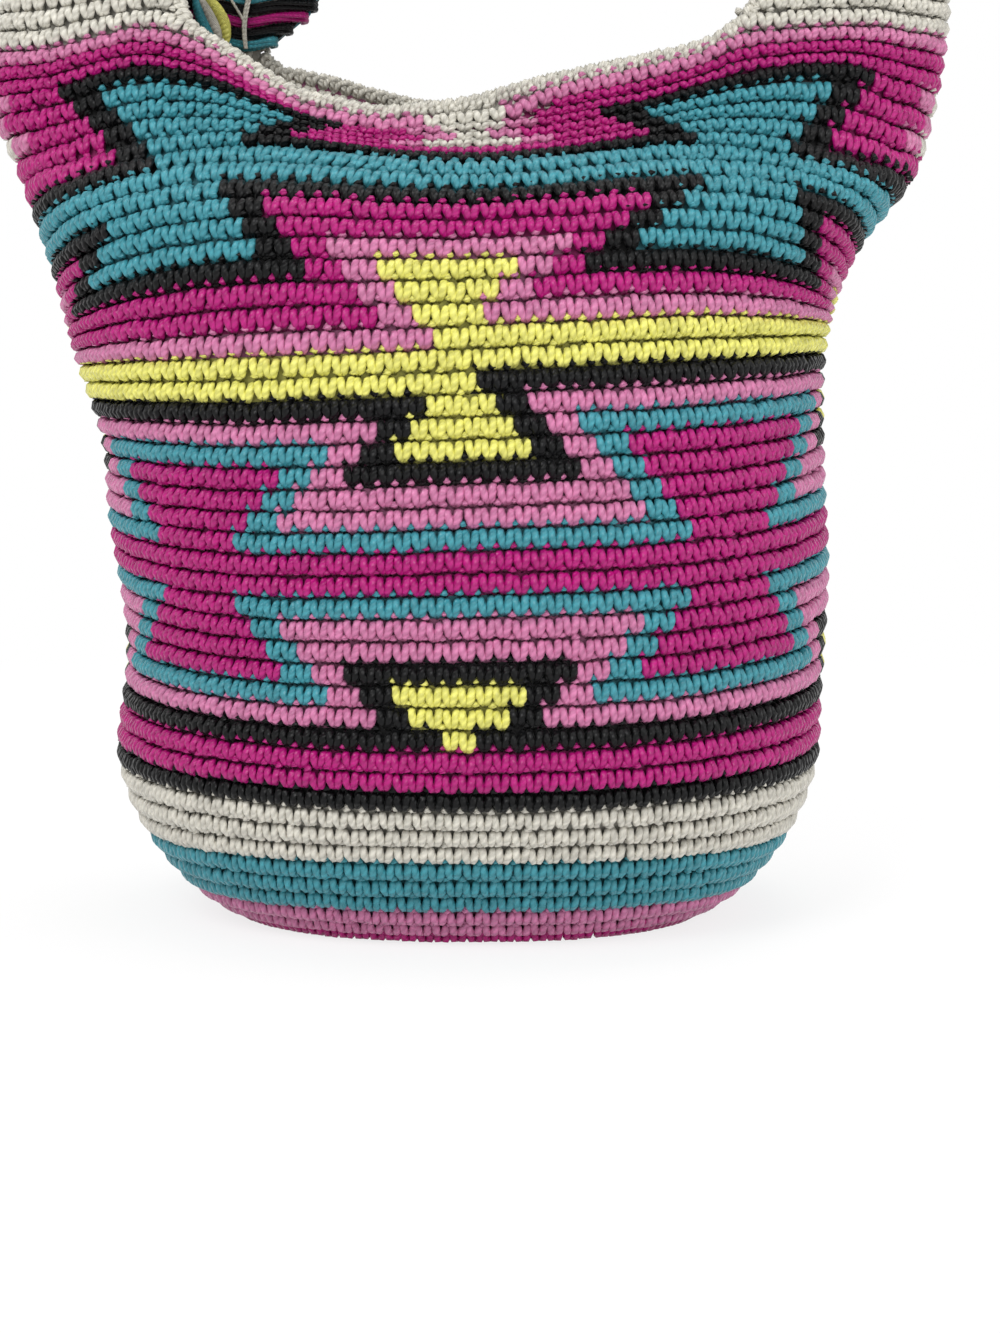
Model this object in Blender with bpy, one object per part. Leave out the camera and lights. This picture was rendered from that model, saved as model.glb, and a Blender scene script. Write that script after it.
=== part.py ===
"""Crochet hobo bag: a tapestry crocheted sack with two ears, edging, strap, lining and carried yarns.

Metres, +Z up, origin at the middle of the flat base. The viewer stands at -Y, the ears point to -X and +X.
The rows of the sack are counted downward, as its colour chart counts them, and a turn is a share of
the way round it, from the middle of the front towards +X.
"""

import math

import bmesh
import bpy
from mathutils import Vector

# Sack
BAG_WIDTH = 0.2450
BAG_DEPTH = 0.2040
EAR_HEIGHT = 0.3450
WALL = 0.0055
RIDGE = 0.0016
BOTTOM_ROUND_HEIGHT = 0.0620
BOTTOM_ROUND_WIDTH = 0.0470
BOTTOM_ROUND_DEPTH = 0.0400
SIDE_ROUNDNESS = 1.7
FRONT_ROUNDNESS = 1.25
WALL_SQUARENESS = 2.3
COLUMNS = 36

# Mouth
MOUTH_HEIGHT = 0.2700
EAR_FRONT_GAP = 0.0900
EAR_RISE = 0.0260

# Edging, strap and lining
EDGING = 0.0048
STRAP_WIDTH = 0.0640
STRAP_THICKNESS = 0.0065
STRAP_TOP = 0.5500
STRAP_ROW = 0.0070
LINING = 0.0012
LINING_DROP = 0.0060
YARN_BUNDLE = 0.0036
GAP = 0.0003

# Half the web between the front and the back scoop, the length over which the strap loses the ears'
# curl, and how deep it is cupped across
SCOOP_WEB = 0.0005
STRAP_SETTLE = 0.1408
STRAP_CUP = 0.0060

# Colour chart, in stitches and rows
STITCHES = 136
REPEAT = 34
TOP_ROW = -11.5
BOTTOM_ROW = 44.5

COLOURS = {
    "cream": (0.604, 0.558, 0.465),
    "teal": (0.061, 0.305, 0.332),
    "magenta": (0.514, 0.013, 0.188),
    "pink": (0.610, 0.195, 0.376),
    "yellow": (0.831, 0.753, 0.114),
    "black": (0.010, 0.010, 0.012),
}

# Half widths and half depth of the sack, as shares of BAG_WIDTH / 2 and BAG_DEPTH / 2,
# by share of EAR_HEIGHT
RIGHT_SHAPE = [(0.000, 0.985), (0.209, 0.985), (0.349, 1.000), (0.449, 0.985), (0.549, 0.980),
               (0.619, 1.015), (0.674, 1.090), (0.729, 1.215), (0.774, 1.265), (0.859, 1.310),
               (0.929, 1.315), (1.000, 1.260)]
LEFT_SHAPE = [(0.000, 1.010), (0.169, 1.015), (0.279, 0.980), (0.409, 1.025), (0.479, 1.040),
              (0.559, 1.110), (0.649, 1.175), (0.739, 1.265), (0.799, 1.340), (0.859, 1.355),
              (0.914, 1.290), (1.000, 1.080)]
DEPTH_SHAPE = [(0.000, 0.965), (0.190, 0.965), (0.380, 0.980), (0.460, 0.950), (0.540, 0.920),
               (0.600, 0.900), (0.655, 0.870), (0.693, 0.835), (0.715, 0.765), (0.732, 0.690),
               (0.752, 0.570), (0.790, 0.470), (0.850, 0.420), (1.000, 0.340)]

# Heights of the rows at the middle of the front, the corners and the sides, and how much higher
# they ride at the right side than between the sides, all as shares of EAR_HEIGHT
ROW_HEIGHTS = [(-11.5, 1.000, 1.000, 1.000, 0.000), (-3, 0.835, 0.857, 0.861, 0.000),
               (0, 0.788, 0.810, 0.802, 0.000), (3, 0.7525, 0.775, 0.737, 0.000),
               (5, 0.732, 0.747, 0.693, 0.002), (10, 0.656, 0.656, 0.615, 0.009),
               (15, 0.5565, 0.557, 0.557, 0.0145),
               (25, 0.357, 0.360, 0.377, 0.009), (35, 0.154, 0.160, 0.168, 0.000),
               (38, 0.0997, 0.0985, 0.0986, 0.000), (41, 0.0446, 0.0430, 0.0406, 0.000),
               (43, 0.0136, 0.0133, 0.0130, 0.000), (44.5, 0.000, 0.000, 0.000, 0.000)]

# The scooped mouth from left to right, as shares of EAR_FRONT_GAP across and of EAR_RISE above
# MOUTH_HEIGHT. Both ends run on to the ears' tops
FRONT_RIM = [(-1.073, 1.390), (-1.024, 1.085), (-0.888, 0.777), (-0.788, 0.550), (-0.643, 0.244),
             (-0.513, 0.123), (-0.387, 0.019), (-0.258, 0.000), (-0.010, 0.108), (0.230, 0.338),
             (0.473, 0.538), (0.619, 0.642), (0.843, 0.846), (0.954, 1.073), (1.031, 1.342)]
BACK_RIM = [(-0.648, 1.900), (-0.844, 1.227), (-0.778, 0.900), (-0.703, 0.838), (-0.574, 0.750),
            (-0.447, 0.627), (-0.312, 0.508), (-0.194, 0.435), (0.000, 0.381), (0.267, 0.362),
            (0.467, 0.438), (0.667, 0.612), (0.843, 0.846), (0.954, 1.073), (1.031, 1.342)]
EAR_TOPS = {-1: (-1.200, 1.310), 1: (-0.700, 1.310)}

# The strap's middle line between its two feet: how far in from the nearer foot, as shares of STRAP_WIDTH,
# and how high, as shares of its rise
STRAP_LEFT = [(0.50, 0.30), (1.06, 0.68)]
STRAP_RIGHT = [(0.47, 0.62), (0.03, 0.24)]
STRAP_SHOULDER = (1.02, 0.90)

# Levels above the ear's foot and shares of the way out to the ear, in bundle thicknesses and shares of
# EAR_FRONT_GAP, of the bundles, the stitch that holds them and the loop that hangs out of them
BUNDLES = [("carried_teal_low", 2.36, "teal"), ("carried_black_low", 3.44, "black"),
           ("carried_magenta", 4.53, "magenta"), ("carried_black_high", 5.61, "black"),
           ("carried_teal_high", 6.69, "teal"), ("carried_pink", 7.78, "pink")]
CATCH_STITCH = [(-0.850, 9.17), (-0.872, 6.53), (-0.893, 4.28), (-0.897, 2.78), (-0.893, 1.39)]
YELLOW_LOOP = [(-1.120, 6.25), (-1.090, 5.14), (-1.060, 3.89), (-1.040, 2.64)]
BUNDLE_ENDS = (-1.300, -0.865)
BUNDLE_DIP = -0.895


def clear_scene():
    for thing in list(bpy.data.objects):
        bpy.data.objects.remove(thing, do_unlink=True)


def along(stations, place, column=1):
    """Smooth curve through a few stations, flat beyond the first and the last."""
    if place <= stations[0][0]:
        return stations[0][column]
    if place >= stations[-1][0]:
        return stations[-1][column]
    index = 0
    while stations[index + 1][0] < place:
        index += 1

    def slope(at):
        low = max(at - 1, 0)
        high = min(at + 1, len(stations) - 1)
        return (stations[high][column] - stations[low][column]) / (stations[high][0] - stations[low][0])

    start, end = stations[index], stations[index + 1]
    span = end[0] - start[0]
    t = (place - start[0]) / span
    rise = end[column] - start[column]
    into, out = slope(index) * span, slope(index + 1) * span
    return start[column] + t * into + t * t * (3 * rise - 2 * into - out) + t ** 3 * (into + out - 2 * rise)


def bottom_pull(height, reach, roundness):
    """How far the rounded bottom stands in from the wall above it."""
    drop = 1 - min(max(height, 0.0) / BOTTOM_ROUND_HEIGHT, 1.0)
    return reach * (1 - (1 - drop ** roundness) ** (1 / roundness))


def section(height):
    """Right and left half width and half depth of the sack at a height."""
    share = height / EAR_HEIGHT
    pull = bottom_pull(height, BOTTOM_ROUND_WIDTH, SIDE_ROUNDNESS)
    right = along(RIGHT_SHAPE, share) * BAG_WIDTH / 2 - pull
    left = along(LEFT_SHAPE, share) * BAG_WIDTH / 2 - pull
    depth = along(DEPTH_SHAPE, share) * BAG_DEPTH / 2
    depth -= bottom_pull(height, BOTTOM_ROUND_DEPTH, FRONT_ROUNDNESS)
    return right, left, depth


def outline_point(angle, height, inset):
    """Point of the sack's skin at an angle, moved in square to it. Angle 0 is the front, pi / 2 is +X."""
    right, left, depth = section(height)
    step = 0.0001
    above, below = section(height + step), section(max(height - step, 0.0))
    span = height + step - max(height - step, 0.0)
    power = 2 / WALL_SQUARENESS
    sine, cosine = math.sin(angle), math.cos(angle)
    side = 0 if sine >= 0 else 1
    half = (right, left)[side]
    across = math.copysign(abs(sine) ** power, sine)
    deep = -math.copysign(abs(cosine) ** power, cosine)
    normal_x = math.copysign(abs(across) ** (WALL_SQUARENESS - 1) / half, sine)
    normal_y = -math.copysign(abs(deep) ** (WALL_SQUARENESS - 1) / depth, cosine)
    flare = (above[side] - below[side]) / span * across * normal_x
    flare += (above[2] - below[2]) / span * deep * normal_y
    normal = Vector((normal_x, normal_y, -flare)).normalized()
    return Vector((half * across, depth * deep, height)) - normal * inset


def quarter_angles(half, depth, count):
    """Angles that part one quarter of an oval into stretches of the same length."""
    steps = 64
    power = 2 / WALL_SQUARENESS
    lengths = [0.0]
    last = (0.0, depth)
    for step in range(1, steps + 1):
        angle = math.pi / 2 * step / steps
        here = (half * math.sin(angle) ** power, depth * max(math.cos(angle), 0.0) ** power)
        lengths.append(lengths[-1] + math.dist(last, here))
        last = here
    angles = []
    step = 0
    for index in range(count + 1):
        goal = lengths[-1] * index / count
        while step < steps - 1 and lengths[step + 1] < goal:
            step += 1
        share = (goal - lengths[step]) / (lengths[step + 1] - lengths[step])
        angles.append(math.pi / 2 * (step + share) / steps)
    return angles


def ring_angles(height):
    """Angles of the columns round the sack, evenly spaced along its outline."""
    right, left, depth = section(height)
    per_quarter = COLUMNS // 4
    to_right = quarter_angles(right, depth, per_quarter)
    to_left = quarter_angles(left, depth, per_quarter)
    angles = to_right[:-1]
    angles += [math.pi - angle for angle in reversed(to_right[1:])]
    angles += [math.pi + angle for angle in to_left[:-1]]
    angles += [2 * math.pi - angle for angle in reversed(to_left[1:])]
    return angles


def row_height(row, turn):
    """Height of a row at a turn: rows hang lower or ride higher at the corners and the sides."""
    middle, corner, side, tilt = (along(ROW_HEIGHTS, row, column) for column in (1, 2, 3, 4))
    even = (middle + side) / 4 + corner / 2
    twice = (middle - side) / 2
    four = (middle + side) / 4 - corner / 2
    phase = 2 * math.pi * turn
    share = even + tilt * math.sin(phase) + twice * math.cos(2 * phase) + four * math.cos(4 * phase)
    return EAR_HEIGHT * share


def sack_ring(row, inset):
    """Points of the sack's wall along one row."""
    points = []
    for column in range(COLUMNS):
        height = row_height(row, column / COLUMNS)
        points.append(outline_point(ring_angles(height)[column], height, inset))
        if row == BOTTOM_ROW:
            points[-1].z = inset
    return points


def chart(turn, row):
    """Colour of one stitch: nested outlines round hourglasses that repeat every 34 stitches."""
    stitch = (turn * STITCHES + STITCHES / 2) % STITCHES - STITCHES / 2
    lobe = abs((stitch + REPEAT / 2) % REPEAT - REPEAT / 2)
    waist = REPEAT / 2 - lobe
    # The stripes lie one row lower to the left of the round's start, which drifts to the right
    start = -REPEAT / 2 if row < 10 else 0
    stripe = row - 1 if 3 < row < 20 and start - STITCHES / 2 < stitch < start else row
    if row <= -3:
        return "pink" if row == -3 else "cream"
    if row <= 2 and (row < 1 or lobe < 6):
        return near_rim(waist, lobe, row)
    if row <= 11 and upper_glass(waist, row, stripe) != "magenta":
        return upper_glass(waist, row, stripe)
    if 10 <= row <= 15:
        return yellow_cup(lobe, row, stripe)
    if 16 <= row <= 23:
        return lower_glass(lobe, row - 15, stripe - 15, row - 19)
    if 26 <= row <= 32:
        return lower_glass(lobe, 34 - row if row < 32 else 1, 33 - row, 30 - row)
    for last, colour in ((34, "magenta"), (35, "black"), (38, "cream"), (41, "teal"), (43, "pink")):
        if row <= last:
            return colour
    return "magenta"


def near_rim(waist, lobe, row):
    """Rows between the ears' cream and the hourglasses."""
    if row < 0:
        return "magenta"
    if row == 0:
        bounds = [(9, "black"), (13, "magenta"), (15.5, "pink"), (REPEAT, "cream")]
        return next(colour for bound, colour in bounds if waist < bound)
    cream = 1 if row == 1 else 3
    return "cream" if lobe < cream else "pink" if lobe < cream + 2 else "magenta"


def upper_glass(waist, row, stripe):
    """Teal hourglass in a black outline; its waist runs on as a stripe."""
    width = 7 - row if row <= 5 else row - 4
    slope = min(max(math.floor((waist - width) / 2) + 1, 0), 2)
    band = {4: 1, 5: 0, 6: 0, 7: 1}.get(stripe, 2)
    end = 1 if row in (0, 11) else 0
    return ("teal", "black", "magenta")[min(band, max(slope, end))]


def yellow_cup(lobe, row, stripe):
    """Upper half of the yellow hourglass, down to the yellow stripe."""
    slope = min(max(math.floor((lobe - (15 - row)) / 2) + 1, 0), 2)
    band = {13: 1, 14: 0, 15: 0}.get(stripe, 2)
    end = 1 if row == 10 else 0
    return ("yellow", "pink", "magenta")[min(band, max(slope, end))]


def lower_glass(lobe, width, stripe, past):
    """Triangle that widens by a stitch a row in four outlines; past counts the rows beyond its yellow."""
    slope = min(max(math.floor((lobe - width) / 2) + 1, 0), 4)
    band = min(max(stripe, 0), 4)
    end = (0, 1, 2, 2, 3)[min(max(past, 0), 4)]
    return ("yellow", "black", "pink", "teal", "magenta")[min(band, max(slope, end))]


def make_material(name, colour, roughness):
    material = bpy.data.materials.new(name)
    material.use_nodes = True
    shader = material.node_tree.nodes["Principled BSDF"]
    shader.inputs["Base Color"].default_value = (*colour, 1)
    shader.inputs["Roughness"].default_value = roughness
    shader.inputs["Metallic"].default_value = 0
    return material


def make_object(name, mesh, materials):
    thing = bpy.data.objects.new(name, mesh)
    bpy.context.collection.objects.link(thing)
    for material in materials:
        mesh.materials.append(material)
    return thing


def skin_rings(form, rings, closed_start=False, closed_end=False, reverse=False):
    """Bridge rings of points into a skin of triangles and return its loops and its faces in rows."""
    loops = [[form.verts.new(point) for point in ring] for ring in rings]
    rows = []
    for upper, lower in zip(loops, loops[1:]):
        faces = []
        for index in range(len(upper)):
            after = (index + 1) % len(upper)
            first = (upper[index], lower[index], lower[after])
            second = (upper[index], lower[after], upper[after])
            faces.append([form.faces.new(half[::-1] if reverse else half) for half in (first, second)])
        rows.append(faces)
    if closed_start:
        form.faces.new(loops[0][::-1] if reverse else loops[0])
    if closed_end:
        form.faces.new(loops[-1] if reverse else loops[-1][::-1])
    return loops, rows


def mouth_curve(side, drop=0.0):
    """Outline of the mouth from ear top to ear top; side is -1 at the front and 1 at the back."""
    rim = FRONT_RIM if side < 0 else BACK_RIM
    left, right = EAR_TOPS[side]
    curve = [(x * EAR_FRONT_GAP, MOUTH_HEIGHT + z * EAR_RISE) for x, z in rim]
    curve = [(left * EAR_FRONT_GAP, EAR_HEIGHT)] + curve + [(right * EAR_FRONT_GAP, EAR_HEIGHT)]
    return [(x, z - drop) for x, z in rounded(curve)]


def rounded(points, steps=4):
    """Points on a smooth curve through the given ones."""
    result = []
    last = len(points) - 1
    for index in range(last):
        before = points[max(index - 1, 0)]
        start, end = points[index], points[index + 1]
        after = points[min(index + 2, last)]
        for step in range(steps):
            t = step / steps
            weights = (-t + 2 * t * t - t ** 3, 2 - 5 * t * t + 3 * t ** 3,
                       t + 4 * t * t - 3 * t ** 3, t ** 3 - t * t)
            result.append(tuple(sum(weight * value for weight, value in zip(weights, values)) / 2
                                for values in zip(before, start, end, after)))
    result.append(tuple(points[-1]))
    return result


def scoop_cutter(name, side, drop=0.0):
    """Prism over the front or the back half that takes away what lies above the mouth's outline."""
    curve = mouth_curve(side, drop)
    above = EAR_HEIGHT + EAR_RISE
    outline = curve + [(curve[-1][0], above), (curve[0][0], above)]
    middle = SCOOP_WEB * side
    near, far = (middle, BAG_DEPTH) if side > 0 else (-BAG_DEPTH, middle)
    form = bmesh.new()
    front = [form.verts.new((x, near, z)) for x, z in outline]
    back = [form.verts.new((x, far, z)) for x, z in outline]
    form.faces.new(front)
    form.faces.new(back[::-1])
    for index in range(len(outline)):
        after = (index + 1) % len(outline)
        form.faces.new((front[after], front[index], back[index], back[after]))
    bmesh.ops.recalc_face_normals(form, faces=form.faces)
    mesh = bpy.data.meshes.new(name)
    form.to_mesh(mesh)
    form.free()
    cutter = make_object(name, mesh, [])
    cutter.hide_render = True
    cutter.display_type = "WIRE"
    return cutter


def cut_mouth(sack, drop=0.0):
    """Cut the front and the back scoop, which leaves the two ears standing."""
    for label, side in (("front", -1), ("back", 1)):
        cut = sack.modifiers.new(f"{label}_scoop", "BOOLEAN")
        cut.operation = "DIFFERENCE"
        cut.object = scoop_cutter(f"{sack.name}_{label}_scoop", side, drop)


def make_sack(materials):
    """Crocheted sack and ears: ridged outside by rows, smooth inside, cut open by the two scoops."""
    slots = list(COLOURS)
    form = bmesh.new()
    rows = int(BOTTOM_ROW - TOP_ROW)
    rings = []
    for step in range(2 * rows + 1):
        inset = RIDGE if step % 2 == 0 and step < 2 * rows else 0.0
        rings.append(sack_ring(TOP_ROW + step / 2, inset))
    loops, bands = skin_rings(form, rings, closed_end=True)
    for step, faces in enumerate(bands):
        row = math.floor(TOP_ROW + step / 2 + 0.75)
        for column, halves in enumerate(faces):
            for face in halves:
                face.material_index = slots.index(chart((column + 0.5) / COLUMNS, row))
    inner_loops, _ = skin_rings(form, inner_rings(WALL), closed_end=True, reverse=True)
    for index in range(COLUMNS):
        after = (index + 1) % COLUMNS
        form.faces.new((loops[0][after], inner_loops[0][after], inner_loops[0][index], loops[0][index]))
    mesh = bpy.data.meshes.new("crochet_body")
    form.to_mesh(mesh)
    form.free()
    sack = make_object("crochet_body", mesh, materials)
    cut_mouth(sack)
    return sack


def inner_rings(inset, top_row=TOP_ROW):
    """Rings of the smooth inside, from the top edge down to the inner floor."""
    rows = {top_row, -10, -8.5, -7, -5.5, -4.25, -3, -1, 1, 3, 5, 8, 12, 20, 30, 36, 39, 41.5, 43.5,
            BOTTOM_ROW}
    return [sack_ring(row, inset) for row in sorted(rows) if row >= top_row]


def make_lining(material):
    """Cloth sack that lies against the inside, with its edge a little below the mouth's edging."""
    top_row = -3
    form = bmesh.new()
    outer, _ = skin_rings(form, inner_rings(WALL + GAP, top_row), closed_end=True)
    inner, _ = skin_rings(form, inner_rings(WALL + GAP + LINING, top_row), closed_end=True, reverse=True)
    for index in range(COLUMNS):
        after = (index + 1) % COLUMNS
        form.faces.new((outer[0][after], inner[0][after], inner[0][index], outer[0][index]))
    mesh = bpy.data.meshes.new("lining")
    form.to_mesh(mesh)
    form.free()
    lining = make_object("lining", mesh, [material])
    cut_mouth(lining, LINING_DROP)
    return lining


def wall_depth(x, height, inset):
    """Distance of the leaning wall from the middle plane at a place across the sack."""
    right, left, depth = section(height)
    step = WALL / 10
    lean = (section(height + step)[2] - section(height - step)[2]) / (2 * step)
    level_inset = inset * math.hypot(1, lean)
    half = (right if x >= 0 else left) - level_inset
    share = min(abs(x) / half, 1.0)
    return (depth - level_inset) * (1 - share ** WALL_SQUARENESS) ** (1 / WALL_SQUARENESS)


def make_tube(name, points, thickness, material, sides=1):
    """Closed tube along a smooth run of points."""
    curve = bpy.data.curves.new(name, "CURVE")
    curve.dimensions = "3D"
    curve.bevel_depth = thickness / 2
    curve.bevel_resolution = sides
    curve.use_fill_caps = True
    spline = curve.splines.new("POLY")
    spline.points.add(len(points) - 1)
    for place, point in zip(spline.points, points):
        place.co = (*point, 1)
    tube = bpy.data.objects.new(name, curve)
    bpy.context.collection.objects.link(tube)
    curve.materials.append(material)
    return tube


def make_edging(name, side, material):
    """Edging worked onto the cut rim; at the back it starts at the left ear's foot."""
    curve = mouth_curve(side)
    if side > 0:
        foot = min(range(len(curve)), key=lambda index: curve[index][0])
        curve = curve[foot + 1:]
    lift = EDGING / 2 + GAP
    points = []
    for index, (x, z) in enumerate(curve):
        before, after = curve[max(index - 1, 0)], curve[min(index + 1, len(curve) - 1)]
        run, climb = after[0] - before[0], after[1] - before[1]
        length = math.hypot(run, climb)
        depth = wall_depth(x, z, WALL / 2 + RIDGE / 2)
        points.append((x - climb / length * lift, side * depth, z + run / length * lift))
    return make_tube(name, points, EDGING, material, sides=1)


def ear_arc(right, share):
    """Point of an ear's top at a share of the way round it, from the front edge to the back edge."""
    front, back = (mouth_curve(side)[-1 if right else 0][0] for side in (-1, 1))
    half_right, half_left, depth = section(EAR_HEIGHT)
    half = half_right if right else half_left
    inset = WALL / 2
    power = WALL_SQUARENESS
    start = math.acos(min((abs(front) / (half - inset)) ** (power / 2), 1.0))
    end = math.acos(min((abs(back) / (half - inset)) ** (power / 2), 1.0))
    swing = -start + share * (start + end)
    x = (half - inset) * math.cos(swing) ** (2 / power)
    y = (depth - inset) * math.copysign(abs(math.sin(swing)) ** (2 / power), swing)
    return Vector((x if right else -x, y, EAR_HEIGHT + GAP))


def strap_path():
    """Middle line of the strap, over the gap between the ears."""
    left, right = ear_arc(False, 0.5), ear_arc(True, 0.5)
    top = STRAP_TOP - STRAP_THICKNESS / 2
    rise = top - EAR_HEIGHT
    path = [(left.x, left.z)]
    path += [(left.x + across * STRAP_WIDTH, left.z + up * rise) for across, up in STRAP_LEFT]
    path += [(0.0, top), (STRAP_SHOULDER[0] * STRAP_WIDTH, left.z + STRAP_SHOULDER[1] * rise)]
    path += [(right.x - across * STRAP_WIDTH, left.z + up * rise) for across, up in STRAP_RIGHT]
    path.append((right.x, right.z))
    return rounded(path, 24)


def make_strap(material):
    """Band crocheted in short rows from ear to ear; both ends keep the ears' curl and are sewn on."""
    path = strap_path()
    lengths = [0.0]
    for start, end in zip(path, path[1:]):
        lengths.append(lengths[-1] + math.dist(start, end))
    rows = round(lengths[-1] / STRAP_ROW)
    across = [-1.0, -0.4, 0.4, 1.0]
    rings = []
    step = 0
    for ring in range(2 * rows + 1):
        goal = lengths[-1] * ring / (2 * rows)
        while step < len(path) - 2 and lengths[step + 1] < goal:
            step += 1
        share = (goal - lengths[step]) / (lengths[step + 1] - lengths[step])
        start, end = path[step], path[step + 1]
        x = start[0] + share * (end[0] - start[0])
        z = start[1] + share * (end[1] - start[1])
        tangent = Vector((end[0] - start[0], 0, end[1] - start[1])).normalized()
        outward = Vector((-tangent.z, 0, tangent.x))
        near = min(goal, lengths[-1] - goal)
        settle = min(near / STRAP_SETTLE, 1.0)
        blend = settle * settle * (3 - 2 * settle)
        right_end = goal > lengths[-1] / 2
        half = STRAP_THICKNESS / 2 - (RIDGE / 2 if ring % 2 == 0 else 0)
        outside, inside = [], []
        for place in across:
            flat = Vector((x, place * STRAP_WIDTH / 2, z)) - outward * (STRAP_CUP * place * place)
            anchor = ear_arc(right_end, (place + 1) / 2)
            foot = path[-1] if right_end else path[0]
            curled = anchor + Vector((x - foot[0], 0, z - foot[1]))
            middle = curled.lerp(flat, blend)
            sideways = Vector((anchor.x / 6, anchor.y * 2.2, 0)).normalized()
            normal = sideways.lerp(outward, blend).normalized()
            edge = half * (0.6 if abs(place) == 1 else 1)
            outside.append(middle + normal * edge)
            inside.append(middle - normal * edge)
        rings.append(outside + inside[::-1])
    form = bmesh.new()
    skin_rings(form, rings, closed_start=True, closed_end=True)
    bmesh.ops.recalc_face_normals(form, faces=form.faces)
    mesh = bpy.data.meshes.new("shoulder_strap")
    form.to_mesh(mesh)
    form.free()
    return make_object("shoulder_strap", mesh, [material])


def bundle_inset(level):
    """How far inside the leaning wall's face a bundle's back lies, at a level above the ear's foot."""
    return WALL + 5 * GAP + level / 50


def carried_points(level, thickness):
    """Run of a yarn bundle across the inside of the left ear, dipped where the catch stitch holds it."""
    curve = mouth_curve(1)
    lip = MOUTH_HEIGHT + EAR_RISE
    height = lip + level
    beyond = [x for x, z in curve if z > height and x < -0.5 * EAR_FRONT_GAP]
    start = BUNDLE_ENDS[0] * EAR_FRONT_GAP
    end = max(beyond[-1], BUNDLE_ENDS[1] * EAR_FRONT_GAP) + 5 * GAP
    dip_place = BUNDLE_DIP * EAR_FRONT_GAP
    points = []
    for step in range(9):
        x = start + (end - start) * step / 8
        dip = YARN_BUNDLE * 0.6 * math.exp(-((x - dip_place) / (2.2 * YARN_BUNDLE)) ** 2)
        inset = bundle_inset(level) + thickness / 2
        points.append((x, wall_depth(x, height - dip, inset), height - dip))
    return points


def yarn_place(share, level, forward):
    """Place in front of the bundles, by its share of the way out to the ear and its level."""
    x = share * EAR_FRONT_GAP
    level *= YARN_BUNDLE
    height = MOUTH_HEIGHT + EAR_RISE + level
    return x, wall_depth(x, height, bundle_inset(level) + forward), height


def make_carried_yarns(materials):
    """Yarns carried across the wrong side of the left ear, with the stitch and the loop on them."""
    for name, level, colour in BUNDLES:
        points = carried_points(level * YARN_BUNDLE, YARN_BUNDLE)
        make_tube(name, points, YARN_BUNDLE, materials[colour])
    size = YARN_BUNDLE / 2
    forward = YARN_BUNDLE + size / 2 + GAP
    points = rounded([yarn_place(share, level, forward) for share, level in CATCH_STITCH], 3)
    make_tube("catch_stitch", points, size, materials["cream"])
    size = 1.7 * YARN_BUNDLE
    forward = YARN_BUNDLE + size / 2 + 3 * GAP
    points = rounded([yarn_place(share, level, forward) for share, level in YELLOW_LOOP], 3)
    make_tube("carried_yellow_loop", points, size, materials["yellow"])


def main():
    clear_scene()
    yarns = {name: make_material(f"yarn_{name}", colour, 0.45) for name, colour in COLOURS.items()}
    cloth = make_material("lining_cloth", (0.376, 0.283, 0.168), 0.9)
    make_sack(list(yarns.values()))
    make_lining(cloth)
    make_edging("front_edging", -1, yarns["cream"])
    make_edging("back_edging", 1, yarns["cream"])
    make_strap(yarns["cream"])
    make_carried_yarns(yarns)


main()
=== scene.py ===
"""Looks of the crochet hobo bag: every stitch as yarn, the cloth lining, carried yarns, light and camera."""

import math

import bpy
import numpy as np
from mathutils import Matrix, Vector


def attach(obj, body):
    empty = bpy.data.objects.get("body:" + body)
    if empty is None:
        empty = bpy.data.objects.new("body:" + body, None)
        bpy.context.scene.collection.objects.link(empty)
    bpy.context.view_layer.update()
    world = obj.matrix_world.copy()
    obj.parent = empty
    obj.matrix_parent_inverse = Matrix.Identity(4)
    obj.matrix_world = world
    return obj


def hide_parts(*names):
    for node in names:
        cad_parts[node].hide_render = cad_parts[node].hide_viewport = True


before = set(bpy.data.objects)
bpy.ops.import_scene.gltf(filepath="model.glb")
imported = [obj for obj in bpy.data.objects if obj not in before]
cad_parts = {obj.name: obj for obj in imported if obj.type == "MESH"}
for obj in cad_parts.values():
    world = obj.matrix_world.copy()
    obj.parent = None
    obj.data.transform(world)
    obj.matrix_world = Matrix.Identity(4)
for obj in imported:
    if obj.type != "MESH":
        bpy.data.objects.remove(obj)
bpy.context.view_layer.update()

# Sack, in metres, as the frame has it
BAG_WIDTH = 0.2450
BAG_DEPTH = 0.2040
EAR_HEIGHT = 0.3450
WALL = 0.0055
RIDGE = 0.0016
BOTTOM_ROUND_HEIGHT = 0.0620
BOTTOM_ROUND_WIDTH = 0.0470
BOTTOM_ROUND_DEPTH = 0.0400
SIDE_ROUNDNESS = 1.7
FRONT_ROUNDNESS = 1.25
WALL_SQUARENESS = 2.3
MOUTH_HEIGHT = 0.2700
EAR_FRONT_GAP = 0.0900
EAR_RISE = 0.0260
EDGING = 0.0048
STRAP_WIDTH = 0.0640
STRAP_THICKNESS = 0.0065
STRAP_TOP = 0.5500
LINING = 0.0012
LINING_DROP = 0.0060
YARN_BUNDLE = 0.0036
GAP = 0.0003

# Crochet
STITCHES = 136
REPEAT = 34
TOP_ROW = -11.5
BOTTOM_ROW = 44.5
STITCH_WIDTH = 0.0054
ROW_PITCH = 0.0068
YARN_DEPTH = 0.0031
SEED = 7
PLY_LENGTH = 0.006

# Room that a stitch needs below the cut rim, less for the cream rows; and the stitches between which the rows
# that run out at the front are left out
LEAST_ROOM = 0.0012
CREAM_ROOM = -0.0004
RUN_OUT = {-1: (-12.0, 4.5), -2: (-10.0, 5.5)}

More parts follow.
